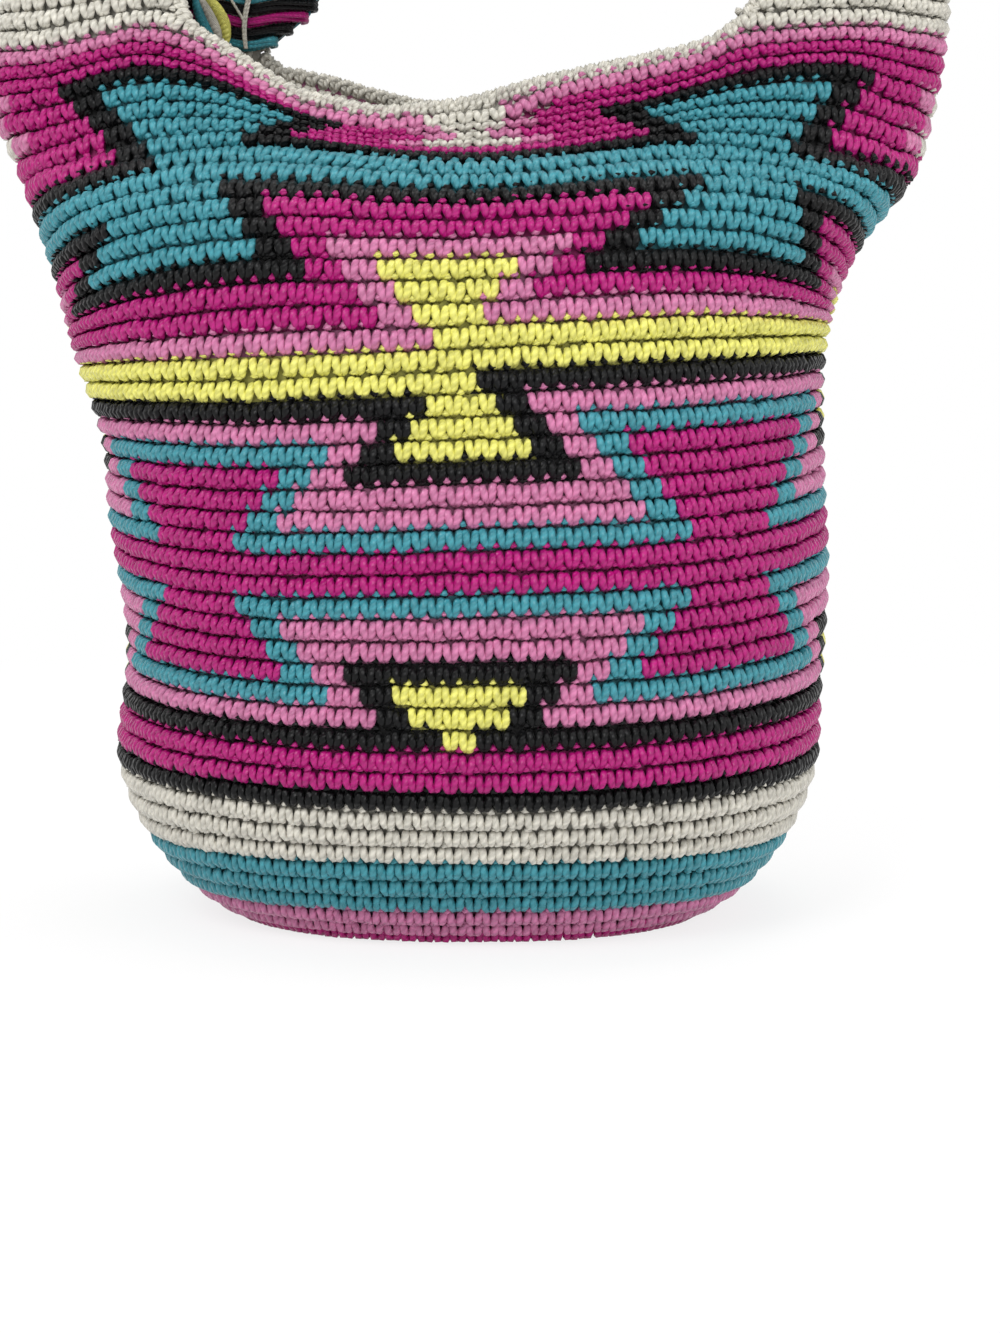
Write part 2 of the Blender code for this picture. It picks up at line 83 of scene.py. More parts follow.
# How far stitches and cores lie inside the faces they show on, and the edging's reach past the ear's corner
WRONG_SIDE = 0.0012
STITCH_SINK = 0.0006
EDGING_FACE_DROP = 0.0019
EDGING_CHAIN_SINK = 0.0017
EDGING_CORE_SINK = 0.0007
EDGING_CORE_LIFT = 0.0014
STRAP_EDGE_SINK = 0.0004
STRAP_CORE_SINK = 0.0022
CORNER_REACH = 0.0030

# Strap's cup across it and the length over which each end settles into it; slack folds of the lining
STRAP_CUP = 0.0060
STRAP_SETTLE = 2.2 * STRAP_WIDTH
FOLD_DEPTH = 0.0009

# Bundles from left to right and the catch stitch on them, as shares of EAR_FRONT_GAP, and their strands
BUNDLE_LEFT = -1.30
BUNDLE_RIGHT = -0.865
CATCH_PLACE = -0.895
BUNDLE_STRANDS = 5
STRAND_RADIUS = 0.00085

# Colours of the yarns as written in sRGB
YARNS = {
    "cream": (0.800, 0.785, 0.740),
    "teal": (0.230, 0.545, 0.595),
    "magenta": (0.660, 0.030, 0.430),
    "pink": (0.765, 0.450, 0.610),
    "yellow": (0.865, 0.850, 0.430),
    "black": (0.028, 0.028, 0.034),
}

RIGHT_SHAPE = [(0, 0.985), (0.209, 0.985), (0.349, 1), (0.449, 0.985), (0.549, 0.98), (0.619, 1.015),
               (0.674, 1.09), (0.729, 1.215), (0.774, 1.265), (0.859, 1.31), (0.929, 1.315), (1, 1.26)]
LEFT_SHAPE = [(0, 1.01), (0.169, 1.015), (0.279, 0.98), (0.409, 1.025), (0.479, 1.04), (0.559, 1.11),
              (0.649, 1.175), (0.739, 1.265), (0.799, 1.34), (0.859, 1.355), (0.914, 1.29), (1, 1.08)]
DEPTH_SHAPE = [(0, 0.965), (0.19, 0.965), (0.38, 0.98), (0.46, 0.95), (0.54, 0.92), (0.6, 0.9),
               (0.655, 0.87), (0.693, 0.835), (0.715, 0.765), (0.732, 0.69), (0.752, 0.57), (0.79, 0.47),
               (0.85, 0.42), (1, 0.34)]

# Heights of the rows at the middle of the front, the corners and the sides, and how much higher they ride at
# the right side than between the sides, all as shares of EAR_HEIGHT
ROW_HEIGHTS = [(-11.5, 1, 1, 1, 0), (-3, 0.835, 0.857, 0.861, 0),
               (0, 0.788, 0.81, 0.802, 0), (3, 0.7525, 0.775, 0.737, 0), (5, 0.732, 0.747, 0.693, 0.002),
               (10, 0.656, 0.656, 0.615, 0.009), (15, 0.5565, 0.557, 0.557, 0.0145),
               (25, 0.357, 0.36, 0.377, 0.009), (35, 0.154, 0.16, 0.168, 0),
               (38, 0.0997, 0.0985, 0.0986, 0), (41, 0.0446, 0.043, 0.0406, 0),
               (43, 0.0136, 0.0133, 0.013, 0), (44.5, 0, 0, 0, 0)]

# The scooped mouth from left to right, as shares of EAR_FRONT_GAP across and of EAR_RISE above MOUTH_HEIGHT.
# Both ends run on to the ears' tops
FRONT_RIM = [(-1.073, 1.39), (-1.024, 1.085), (-0.888, 0.777), (-0.788, 0.55), (-0.643, 0.244),
             (-0.513, 0.123), (-0.387, 0.019), (-0.258, 0), (-0.01, 0.108), (0.23, 0.338), (0.473, 0.538),
             (0.619, 0.642), (0.843, 0.846), (0.954, 1.073), (1.031, 1.342)]
BACK_RIM = [(-0.648, 1.9), (-0.844, 1.227), (-0.778, 0.9), (-0.703, 0.838), (-0.574, 0.75), (-0.447, 0.627),
            (-0.312, 0.508), (-0.194, 0.435), (0, 0.381), (0.267, 0.362), (0.467, 0.438), (0.667, 0.612),
            (0.843, 0.846), (0.954, 1.073), (1.031, 1.342)]
EAR_TOPS = {-1: (-1.200, 1.310), 1: (-0.700, 1.310)}

# How far the columns of the chart have drifted round the sack at a row, as a share of a turn
DRIFT = [(-11.0, 0.0), (5.0, 0.0), (12.0, -0.009), (18.0, -0.003), (31.0, -0.005), (46.0, -0.004)]
BASE_COLOURS = ["magenta", "yellow", "teal"] + 6 * ["magenta"]

# Stretches of yarn in one stitch: places across and down in stitch sizes and outward in metres, and the half
# width and half height there
LEG = [(0.34, -0.54, -0.0032, 0, 0), (0.335, -0.37, -0.0014, 0.00130, 0.00122),
       (0.26, -0.04, -0.0005, 0.00148, 0.00136), (0.13, 0.29, -0.0010, 0.00132, 0.00112),
       (0.02, 0.59, -0.0031, 0, 0)]
TOP_LOOP = [(-0.50, -0.96, -0.0030, 0, 0), (-0.50, -0.82, -0.0017, 0.00085, 0.00080),
            (-0.50, -0.63, -0.0013, 0.00160, 0.00125), (-0.50, -0.45, -0.0034, 0, 0)]

# Yarns in the left ear. Bundles: piece, level above the ear's foot and colour. Strands down the cut edge:
# piece, colour, and how far forward and beside the cut. Other lines: shares of the way to the ear and levels
BUNDLES = [("carried_teal_low", 0.0085, "teal"), ("carried_black_low", 0.0124, "black"),
           ("carried_magenta", 0.0163, "magenta"), ("carried_black_high", 0.0202, "black"),
           ("carried_teal_high", 0.0241, "teal"), ("carried_pink", 0.0280, "pink")]
BUNDLE_WRAP = [[0.0010, 0.0016, 0], [0.0008, 0.0038, 0], [-0.0010, 0.0060, 0]]
EDGE_STRANDS = [("carried_black_high", "black", 0.0010, 0.0012),
                ("carried_teal_high", "teal", 0.0032, 0.0016),
                ("carried_black_low", "black", 0.0054, 0.0012)]
CATCH_STITCH = [(-0.85, 0.0330), (-0.872, 0.0235), (-0.893, 0.0154), (-0.897, 0.0100), (-0.893, 0.0050)]
CATCH_BRANCH = [(-0.965, 0.0245), (-0.935, 0.0200), (-0.905, 0.0155), (-0.899, 0.0140)]
LOOP = [(-1.060, 0.0220), (-1.030, 0.0170), (-1.000, 0.0110), (-0.985, 0.0055)]

# Lamps: name, place, power and size. The camera's pitch is in degrees, its reach and its frame in pixels
LAMPS = [("key", (-0.8, -1.4, 1.7), 22, 0.8), ("fill", (1.3, -1.3, 0.7), 8, 1.2),
         ("top", (0.2, 0.2, 2.0), 14, 1.0)]
CAMERA_PLACE = (0.0091, -0.8, 0.188)
CAMERA_PITCH = 7.33
CAMERA_REACH = 2286
CAMERA_FRAME = 1333
FLOOR_REACH = 6.0


def srgb(colour):
    """Linear values of a colour written in sRGB."""
    return tuple(c / 12.92 if c <= 0.04045 else ((c + 0.055) / 1.055) ** 2.4 for c in colour)


def along(stations, place, column=1):
    """Smooth curve through a few stations at many places, flat beyond the first and the last."""
    knots = np.array([station[0] for station in stations], float)
    values = np.array([station[column] for station in stations], float)
    slopes = np.empty(len(knots))
    slopes[1:-1] = (values[2:] - values[:-2]) / (knots[2:] - knots[:-2])
    slopes[0] = (values[1] - values[0]) / (knots[1] - knots[0])
    slopes[-1] = (values[-1] - values[-2]) / (knots[-1] - knots[-2])
    place = np.clip(np.asarray(place, float), knots[0], knots[-1])
    index = np.clip(np.searchsorted(knots, place, side="right") - 1, 0, len(knots) - 2)
    span = knots[index + 1] - knots[index]
    t = (place - knots[index]) / span
    rise = values[index + 1] - values[index]
    into, out = slopes[index] * span, slopes[index + 1] * span
    return values[index] + t * into + t * t * (3 * rise - 2 * into - out) + t ** 3 * (into + out - 2 * rise)


def unit(vectors):
    """Vectors brought to length one."""
    return vectors / np.linalg.norm(vectors, axis=-1, keepdims=True)


def lengths_along(points):
    """Length along a line up to each of its points."""
    return np.concatenate([[0], np.cumsum(np.linalg.norm(np.diff(points, axis=0), axis=1))])


def at_length(points, lengths, place):
    """Points of a line at lengths along it."""
    return np.stack([np.interp(place, lengths, values) for values in points.T], axis=-1)


def bottom_pull(height, reach, roundness):
    """How far the rounded bottom stands in from the wall above it."""
    drop = 1 - np.clip(height / BOTTOM_ROUND_HEIGHT, 0, 1)
    return reach * (1 - (1 - drop ** roundness) ** (1 / roundness))


def section(height):
    """Right and left half width and half depth of the sack at many heights."""
    height = np.asarray(height, float)
    share = height / EAR_HEIGHT
    pull = bottom_pull(height, BOTTOM_ROUND_WIDTH, SIDE_ROUNDNESS)
    right = along(RIGHT_SHAPE, share) * BAG_WIDTH / 2 - pull
    left = along(LEFT_SHAPE, share) * BAG_WIDTH / 2 - pull
    pull = bottom_pull(height, BOTTOM_ROUND_DEPTH, FRONT_ROUNDNESS)
    return np.stack([right, left, along(DEPTH_SHAPE, share) * BAG_DEPTH / 2 - pull])


TABLE_HEIGHTS = np.linspace(0, EAR_HEIGHT, 260)
TABLE_SHARES = np.linspace(0, 1, 65)


def quarter_table(half, depth):
    """Angles that part a quarter of the oval evenly, one line for each height."""
    power = 2 / WALL_SQUARENESS
    fine = np.linspace(0, math.pi / 2, 300)
    x = half[:, None] * np.sin(fine) ** power
    y = depth[:, None] * np.clip(np.cos(fine), 0, 1) ** power
    lengths = np.cumsum(np.hypot(np.diff(x, axis=1), np.diff(y, axis=1)), axis=1)
    lengths = np.concatenate([np.zeros((len(half), 1)), lengths], axis=1)
    lengths /= lengths[:, -1:]
    return np.array([np.interp(TABLE_SHARES, line, fine) for line in lengths])


TABLE_RIGHT, TABLE_LEFT, TABLE_DEPTH = section(TABLE_HEIGHTS)
ANGLES = {1: quarter_table(TABLE_RIGHT, TABLE_DEPTH), -1: quarter_table(TABLE_LEFT, TABLE_DEPTH)}


def read_table(table, height, share):
    """Value between the lines and columns of an angle table."""
    line = np.clip(height / EAR_HEIGHT, 0, 1) * (len(TABLE_HEIGHTS) - 1)
    place = np.clip(share, 0, 1) * (len(TABLE_SHARES) - 1)
    low_line = np.clip(line.astype(int), 0, len(TABLE_HEIGHTS) - 2)
    low_place = np.clip(place.astype(int), 0, len(TABLE_SHARES) - 2)
    up, over = line - low_line, place - low_place
    start = table[low_line, low_place] * (1 - over) + table[low_line, low_place + 1] * over
    end = table[low_line + 1, low_place] * (1 - over) + table[low_line + 1, low_place + 1] * over
    return start * (1 - up) + end * up


def angle_at(turn, height):
    """Angle round the oval at a share of the way round its outline."""
    quarters = (np.asarray(turn, float) % 1.0) * 4
    quarter = np.clip(np.floor(quarters), 0, 3)
    share = quarters - quarter
    mirrored = quarter % 2 == 1
    share = np.where(mirrored, 1 - share, share)
    angle = np.where(quarter < 2, read_table(ANGLES[1], height, share), read_table(ANGLES[-1], height, share))
    base = math.pi * ((quarter + 1) // 2)
    return np.where(mirrored, base - angle, base + angle)


def skin(turn, height, inset=0.0):
    """Points and outward normals of the sack's skin, moved in square to it."""
    turn, height = np.broadcast_arrays(np.asarray(turn, float), np.asarray(height, float))
    angle = angle_at(turn, height)
    step = 0.0001
    low = np.maximum(height - step, 0)
    right, left, depth = section(height)
    widening_right, widening_left, deepening = (section(height + step) - section(low)) / (height + step - low)
    power = 2 / WALL_SQUARENESS
    sine, cosine = np.sin(angle), np.cos(angle)
    is_right = sine >= 0
    half = np.where(is_right, right, left)
    widening = np.where(is_right, widening_right, widening_left)
    across = np.sign(sine) * np.abs(sine) ** power
    deep = -np.sign(cosine) * np.abs(cosine) ** power
    normal_x = np.sign(sine) * np.abs(across) ** (WALL_SQUARENESS - 1) / half
    normal_y = -np.sign(cosine) * np.abs(deep) ** (WALL_SQUARENESS - 1) / depth
    flare = widening * across * normal_x + deepening * deep * normal_y
    normal = np.stack([normal_x, normal_y, -flare], axis=-1)
    normal = unit(normal)
    point = np.stack([half * across, depth * deep, height], axis=-1)
    return point - normal * np.asarray(inset)[..., None], normal


def plain_height(row, turn):
    """Height of a row at a turn: rows hang lower or ride higher at the corners and the sides."""
    middle, corner, side, tilt = (along(ROW_HEIGHTS, row, column) for column in (1, 2, 3, 4))
    even = (middle + side) / 4 + corner / 2
    twice = (middle - side) / 2
    four = (middle + side) / 4 - corner / 2
    phase = 2 * math.pi * np.asarray(turn)
    return EAR_HEIGHT * (even + tilt * np.sin(phase) + twice * np.cos(2 * phase) + four * np.cos(4 * phase))


def mouth_curve(side, drop=0.0):
    """Outline of the mouth from ear top to ear top; side is -1 at the front, 1 at the back."""
    rim = FRONT_RIM if side < 0 else BACK_RIM
    left, right = EAR_TOPS[side]
    curve = [(x * EAR_FRONT_GAP, MOUTH_HEIGHT + z * EAR_RISE) for x, z in rim]
    curve = [(left * EAR_FRONT_GAP, EAR_HEIGHT)] + curve + [(right * EAR_FRONT_GAP, EAR_HEIGHT)]
    return rounded([(x, z - drop) for x, z in curve])


def rounded(points, steps=4):
    """Points on a smooth curve through the given ones."""
    points = np.array(points, float)
    last = len(points) - 1
    t = (np.arange(steps) / steps)[:, None]
    runs = []
    for index in range(last):
        before, start = points[max(index - 1, 0)], points[index]
        end, after = points[index + 1], points[min(index + 2, last)]
        runs.append(0.5 * (2 * start + (end - before) * t
                           + (2 * before - 5 * start + 4 * end - after) * t ** 2
                           + (3 * start - before - 3 * end + after) * t ** 3))
    return np.vstack(runs + [points[-1:]])


# How the rows near the mouth follow it: stitches from the middle of the front, and how much higher
# rows 0 and -3 lie there, in millimetres
RIM_BEND = [(-68, -4, -12), (-62, -3.5, -10), (-58, -2, -5), (-52, 1.5, -0.5), (-47, 4, 0.5),
            (-43, 4, 1), (-39, 1.5, -2), (-34, 0, -4), (-30, 0, -5.6), (-27, 0.5, -6),
            (-25.4, 1, -4.5), (-23, 3.7, -1.5), (-20.3, 6.4, 2), (-17.8, 4.6, -1), (-15.1, 2.2, -6),
            (-11.6, -4.5, -12.3), (-9.2, -6.4, -19.5), (-6.3, -6.6, -20.2), (-3.5, -6.2, -19.6),
            (1.8, -4.6, -17.7), (5.8, -4, -10), (7.8, -3.4, -6.3), (10.7, -2.9, -3.7), (15.8, 2, -0.5),
            (20, 6.1, 0.5), (24.4, 7.9, 1.6), (26.5, 5, 2.1), (29, 3, 0.1), (34, 0, 0), (39, 1.5, 0),
            (43, 4, 1), (47, 4, 0.5), (52, 1.5, -0.5), (58, -2, -5), (62, -3.5, -10),
            (68, -4, -12)]


def smoothed(line):
    """A closed line of values without its corners."""
    kernel = np.exp(-np.linspace(-2.5, 2.5, 21) ** 2)
    return np.convolve(np.concatenate([line[-10:], line, line[:10]]), kernel / kernel.sum(), "valid")


def smooth_bend():
    """The bend of rows 0 and -3 at every quarter stitch, with row -3 kept just below the cut rim."""
    places = np.arange(-68, 68, 0.25)
    turns = places / STITCHES % 1.0
    known = [entry[0] for entry in RIM_BEND]
    first, second = (smoothed(np.interp(places, known, [entry[column] for entry in RIM_BEND])) / 1000
                     for column in (1, 2))
    cream_row = plain_height(-3, turns) + second
    points = skin(turns, cream_row)[0]
    rim = np.full(len(places), 1.0)
    for side in (-1, 1):
        curve = mouth_curve(side)
        curve = curve[int(np.argmin(curve[:, 0])):]
        chosen = (points[:, 1] >= 0) == (side > 0)
        rim[chosen] = np.interp(points[chosen, 0], curve[:, 0], curve[:, 1], left=1.0, right=1.0)
    lowered = np.minimum(cream_row, rim - 0.0024)
    second = smoothed(second + lowered - cream_row)
    lowered = plain_height(-3, turns) + second
    black_row = plain_height(0, turns) + first
    first = smoothed(first + np.minimum(black_row, lowered - 0.0030) - black_row)
    return places, (first, second)


BEND_PLACES, BEND = smooth_bend()


def row_height(row, turn):
    """Height of a row of stitches at a turn, bent along the mouth near the top."""
    row, turn = np.broadcast_arrays(np.asarray(row, float), np.asarray(turn, float))
    stitch = (turn * STITCHES + STITCHES / 2) % STITCHES - STITCHES / 2
    first, second = (np.interp(stitch, BEND_PLACES, line, period=STITCHES) for line in BEND)
    down = np.clip((4 - row) / 4, 0, 1) * first
    between = first + (second - first) * np.clip(-row / 3, 0, 1)
    above = second * np.clip((row - TOP_ROW) / (-3 - TOP_ROW), 0, 1)
    shift = np.where(row >= 0, down, np.where(row >= -3, between, above))
    return np.minimum(plain_height(row, turn) + shift, EAR_HEIGHT)


def on_wall(turn, row, inset=0.0):
    """Points of the wall and their outward normals at turns and rows."""
    return skin(turn, row_height(row, turn), inset)


def sack_frame(turn, row, inset=0.0):
    """Points of the wall with their rightward and downward directions and outward normals."""
    turn, row = np.broadcast_arrays(np.asarray(turn, float), np.asarray(row, float))
    point, normal = on_wall(turn, row, inset)
    side_step = 0.001
    right = unit(on_wall(turn + side_step, row, inset)[0] - on_wall(turn - side_step, row, inset)[0])
    down = np.cross(right, normal)
    lower = on_wall(turn, np.minimum(row + 0.1, BOTTOM_ROW), inset)[0]
    upper = on_wall(turn, np.maximum(row - 0.1, TOP_ROW), inset)[0]
    down *= np.where(np.sum((lower - upper) * down, axis=-1, keepdims=True) < 0, -1.0, 1.0)
    return point, right, down, normal


def chart(stitch, row):
    """Colour of one stitch: nested outlines round hourglasses that repeat every 34 stitches."""
    lobe = abs((stitch + REPEAT / 2) % REPEAT - REPEAT / 2)
    waist = REPEAT / 2 - lobe
    # The stripes lie one row lower to the left of the round's start, which drifts to the right
    start = -REPEAT / 2 if row < 10 else 0
    stripe = row - 1 if 3 < row < 20 and start - STITCHES / 2 < stitch < start else row
    if row <= -3:
        return "pink" if row == -3 else "cream"
    if row <= 2 and (row < 1 or lobe < 6):
        return near_rim(waist, lobe, row)
    if row <= 11 and upper_glass(waist, row, stripe) != "magenta":
        return upper_glass(waist, row, stripe)
    if 10 <= row <= 15:
        return yellow_cup(lobe, row, stripe)
    if 16 <= row <= 23:
        return lower_glass(lobe, row - 15, stripe - 15, row - 19)
    if 26 <= row <= 32:
        return lower_glass(lobe, 34 - row if row < 32 else 1, 33 - row, 30 - row)
    for last, colour in ((34, "magenta"), (35, "black"), (38, "cream"), (41, "teal"), (43, "pink")):
        if row <= last:
            return colour
    return "magenta"


def near_rim(waist, lobe, row):
    """Rows between the ears' cream and the hourglasses."""
    if row < 0:
        return "magenta"
    if row == 0:
        bounds = [(9, "black"), (13, "magenta"), (15.5, "pink"), (REPEAT, "cream")]
        return next(colour for bound, colour in bounds if waist < bound)
    cream = 1 if row == 1 else 3
    return "cream" if lobe < cream else "pink" if lobe < cream + 2 else "magenta"


def outlines(colours, reach, width, band, end):
    """Colour among nested outlines two stitches wide, by the reach past the glass, its stripe and its end."""
    slope = min(max(math.floor((reach - width) / 2) + 1, 0), len(colours) - 1)
    return colours[min(band, max(slope, end))]


def upper_glass(waist, row, stripe):
    """Teal hourglass in a black outline; its waist runs on as a stripe."""
    width = 7 - row if row <= 5 else row - 4
    band = {4: 1, 5: 0, 6: 0, 7: 1}.get(stripe, 2)
    return outlines(("teal", "black", "magenta"), waist, width, band, row in (0, 11))


def yellow_cup(lobe, row, stripe):
    """Upper half of the yellow hourglass, down to the yellow stripe."""
    band = {13: 1, 14: 0, 15: 0}.get(stripe, 2)
    return outlines(("yellow", "pink", "magenta"), lobe, 15 - row, band, row == 10)


def lower_glass(lobe, width, stripe, past):
    """Triangle that widens by a stitch a row in four outlines; past counts the rows beyond its yellow."""
    end = (0, 1, 2, 2, 3)[min(max(past, 0), 4)]
    return outlines(("yellow", "black", "pink", "teal", "magenta"), lobe, width, min(max(stripe, 0), 4), end)


def rim_distance(points):
    """Distance of wall points below the mouth's cut, negative above it."""
    result = np.empty(len(points))
    for side in (-1, 1):
        chosen = (points[:, 1] >= 0) == (side > 0)
        curve = mouth_curve(side)
        flat = points[chosen][:, [0, 2]]
        starts, ends = curve[:-1], curve[1:]
        run = ends - starts
        offset = flat[:, None, :] - starts[None]
        share = np.clip(np.sum(offset * run, axis=2) / np.sum(run * run, axis=1), 0, 1)
        nearest = starts + share[..., None] * run
        distance = np.min(np.linalg.norm(flat[:, None, :] - nearest, axis=2), axis=1)
        loop = np.vstack([curve, [(curve[-1][0], EAR_HEIGHT + 0.05), (curve[0][0], EAR_HEIGHT + 0.05)]])
        inside = np.zeros(len(flat), bool)
        for first, second in zip(loop, np.roll(loop, -1, axis=0)):
            crosses = (first[1] > flat[:, 1]) != (second[1] > flat[:, 1])
            rise = second[1] - first[1] if second[1] != first[1] else 1e-9
            place = first[0] + (flat[:, 1] - first[1]) / rise * (second[0] - first[0])
            inside ^= crosses & (flat[:, 0] < place)
        result[chosen] = np.where(inside, -distance, distance)
    return result


# Meshes. A block is an array of points, a list of its triangles and its quads, and an array of UVs


def put(name, data):
    """New object in the scene."""
    thing = bpy.data.objects.new(name, data)
    bpy.context.collection.objects.link(thing)
    return thing


def make_piece(name, points, faces, material, slot, node, uvs=None):
    """Mesh piece from arrays; faces is a list of arrays of quads or triangles."""
    mesh = bpy.data.meshes.new(name)
    mesh.from_pydata(points, [], [face for block in faces for face in block.tolist()], shade_flat=False)
    if uvs is not None:
        loops = np.concatenate([block.ravel() for block in faces])
        layer = mesh.uv_layers.new(name="ply")
        layer.data.foreach_set("uv", np.asarray(uvs, np.float32)[loops].ravel())
    mesh.validate()
    mesh.materials.append(material)
    piece = put(name, mesh)
    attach(piece, "root")
    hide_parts(node)
    return piece


def make_yarn(name, blocks, colour, node):
    """Piece of yarn from several blocks."""
    points, faces, uvs = join_blocks(blocks)
    make_piece(name, points, faces, YARN[colour], f"yarn_{colour}", node, uvs)


def join_blocks(blocks):
    """Several blocks as one."""
    shifts = np.cumsum([0] + [len(points) for points, _, _ in blocks])
    faces = [np.vstack([block[1][kind] + shift for block, shift in zip(blocks, shifts)]) for kind in (0, 1)]
    return np.vstack([block[0] for block in blocks]), faces, np.vstack([block[2] for block in blocks])


def ring_quads(starts, ends, sides):
    """Quads between pairs of rings, given by the numbers of the rings' first points."""
    index = np.arange(sides)
    after = (index + 1) % sides
    return np.vstack([np.stack([low + index, low + after, high + after, high + index], axis=1)
                      for low, high in zip(starts, ends)])


def fan(middle, first, sides, way=1):
    """Triangles between a point and a ring, given by the numbers of the point and the ring's first one."""
    index = first + np.arange(sides)
    return np.stack([np.full(sides, middle), np.roll(index, -1), index], axis=1)[:, ::way]


def capped(rings, first, last, ply):
    """Block of rings closed by a point at each end; ply is the UV at first, each ring and last."""
    count, sides = rings.shape[:2]
    total = count * sides
    starts = np.arange(0, total - sides, sides)
    fans = np.vstack([fan(total, 0, sides), fan(total + 1, total - sides, sides, -1)])
    uvs = np.stack([np.tile(np.arange(sides) / sides, count), np.repeat(ply[1:-1], sides)], axis=1)
    return (np.vstack([rings.reshape(-1, 3), first, last]), [fans, ring_quads(starts, starts + sides, sides)],
            np.vstack([uvs, [0.5, ply[0]], [0.5, ply[-1]]]))


def tube(line, radius, sides=8):
    """Closed round tube along a line; radius may change along it. UV runs round and along the ply."""
    line = np.asarray(line, float)
    radius = np.broadcast_to(np.asarray(radius, float), (len(line),))
    tangent = unit(np.gradient(line, axis=0))
    side = unit(np.cross(tangent, np.array([0.03, 0.21, 1.0])))
    over = np.cross(side, tangent)
    angle = np.arange(sides) / sides * 2 * math.pi
    ring = side[:, None] * np.cos(angle)[None, :, None] + over[:, None] * np.sin(angle)[None, :, None]
    ply = lengths_along(line) / PLY_LENGTH
    return capped(line[:, None] + ring * radius[:, None, None], line[0], line[-1], [ply[0], *ply, ply[-1]])


def shell(outer, inner):
    """Closed shell between two stacks of rings from the top down, with a fan over each floor."""
    rings = np.array(outer + inner[::-1])
    count, columns = len(outer), rings.shape[1]
    total = 2 * count * columns
    starts = columns * np.delete(np.arange(2 * count), count - 1)
    quads = ring_quads(starts, (starts + columns) % total, columns)[:, [0, 3, 2, 1]]
    fans = np.vstack([fan(total, (count - 1) * columns, columns),
                      fan(total + 1, count * columns, columns, -1)])
    return np.vstack([rings.reshape(-1, 3), rings[count - 1:count + 1].mean(axis=1)]), [quads, fans]


def stretch(stations, way=1, sides=6):
    """Closed plump stretch of a stitch's yarn; way is -1 for its mirror image."""
    path, widths, heights = np.split(np.array(stations, float), [3, 4], axis=1)
    path = path * [way, 1, 1]
    tangents = unit(np.gradient(path[:, :2], axis=0) * [STITCH_WIDTH, ROW_PITCH])
    sideways = np.insert(tangents[:, ::-1] / [-STITCH_WIDTH, ROW_PITCH], 2, 0, axis=1)
    angle = np.arange(sides) / sides * 2 * math.pi
    rings = (path[:, None] + sideways[:, None] * (np.cos(angle) * widths)[..., None]
             + np.array([0, 0, 1]) * (np.sin(angle) * heights)[..., None])
    return capped(rings[1:-1], path[0], path[-1], np.linspace(0, 1, len(path)))


PLAIN_V = join_blocks([stretch(LEG, -1), stretch(LEG)])
SINGLE_CROCHET = join_blocks([PLAIN_V, stretch(TOP_LOOP, sides=5)])


def set_stitches(centres, right, down, normal, widths, pitches, draws, template=PLAIN_V):
    """Copies of a template set in their own frames, with the small unevenness of hand work."""
    points, faces, uvs = template
    count = len(centres)
    turn = draws.normal(0, 0.05, count)
    swell = draws.normal(1, 0.05, count)
    slide = draws.normal(0, 0.035, (count, 2))
    across = points[None, :, 0] + slide[:, :1] - turn[:, None] * points[None, :, 1]
    below = points[None, :, 1] + slide[:, 1:] + turn[:, None] * points[None, :, 0]
    outward = points[None, :, 2] * swell[:, None]
    placed = (centres[:, None] + (across * widths[:, None])[..., None] * right[:, None]
              + (below * pitches[:, None])[..., None] * down[:, None] + outward[..., None] * normal[:, None])
    shift = (np.arange(count) * len(points))[:, None, None]
    spread = np.tile(uvs, (count, 1))
    spread[:, 0] += np.repeat(draws.random(count), len(points))
    faces = [(block[None] + shift).reshape(-1, block.shape[1]) for block in faces]
    return placed.reshape(-1, 3), faces, spread


# Materials


class Nodes:
    """Adds shader nodes to a material or a world. Values are set on the inputs they name, sockets linked."""

    def __init__(self, owner):
        owner.use_nodes = True
        self.owner, self.tree = owner, owner.node_tree

    def feed(self, socket, value):
        if isinstance(value, bpy.types.NodeSocket):
            self.tree.links.new(value, socket)
        else:
            socket.default_value = value

    def fill(self, node, **settings):
        for key, value in settings.items():
            if hasattr(node, key):
                setattr(node, key, value)
            else:
                self.feed(node.inputs[key.replace("_", " ")], value)
        return node

    def add(self, kind, *values, **settings):
        node = self.fill(self.tree.nodes.new("ShaderNode" + kind), **settings)
        for socket, value in zip(node.inputs, values):
            self.feed(socket, value)
        return node

    def math(self, operation, first, second):
        return self.add("Math", first, second, operation=operation).outputs["Value"]

    def places(self):
        return (self.tree.nodes.get("Texture Coordinate") or self.add("TexCoord")).outputs

    def noise(self, scale, detail):
        return self.add("TexNoise", Vector=self.places()["Object"], Scale=scale, Detail=detail).outputs["Fac"]

    def wave(self, direction, scale, distortion, vector):
        return self.add("TexWave", wave_type="BANDS", bands_direction=direction, Scale=scale,
                        Distortion=distortion, Vector=vector).outputs["Fac"]

    def ramp(self, factor, low, high, start=0.0, end=1.0):
        node = self.add("ValToRGB", Fac=factor)
        for element, colour, position in zip(node.color_ramp.elements, (low, high), (start, end)):
            element.color = (*colour, 1)
            element.position = position
        return node.outputs["Color"]

    def surface(self, colour, height, strength, distance, **settings):
        """Colour, bump and further settings of the Principled shader; gives the material."""
        bump = self.add("Bump", Strength=strength, Distance=distance, Height=height)
        shader = self.tree.nodes["Principled BSDF"]
        self.fill(shader, Base_Color=colour, Normal=bump.outputs["Normal"], **settings)
        return self.owner

    def seen(self):
        """Whether a ray comes from the camera, or by a mirror or a clear thing, as 0 or 1."""
        rays = self.add("LightPath").outputs
        first = self.math("MAXIMUM", rays["Is Camera Ray"], rays["Is Glossy Ray"])
        return self.math("MAXIMUM", first, rays["Is Transmission Ray"])


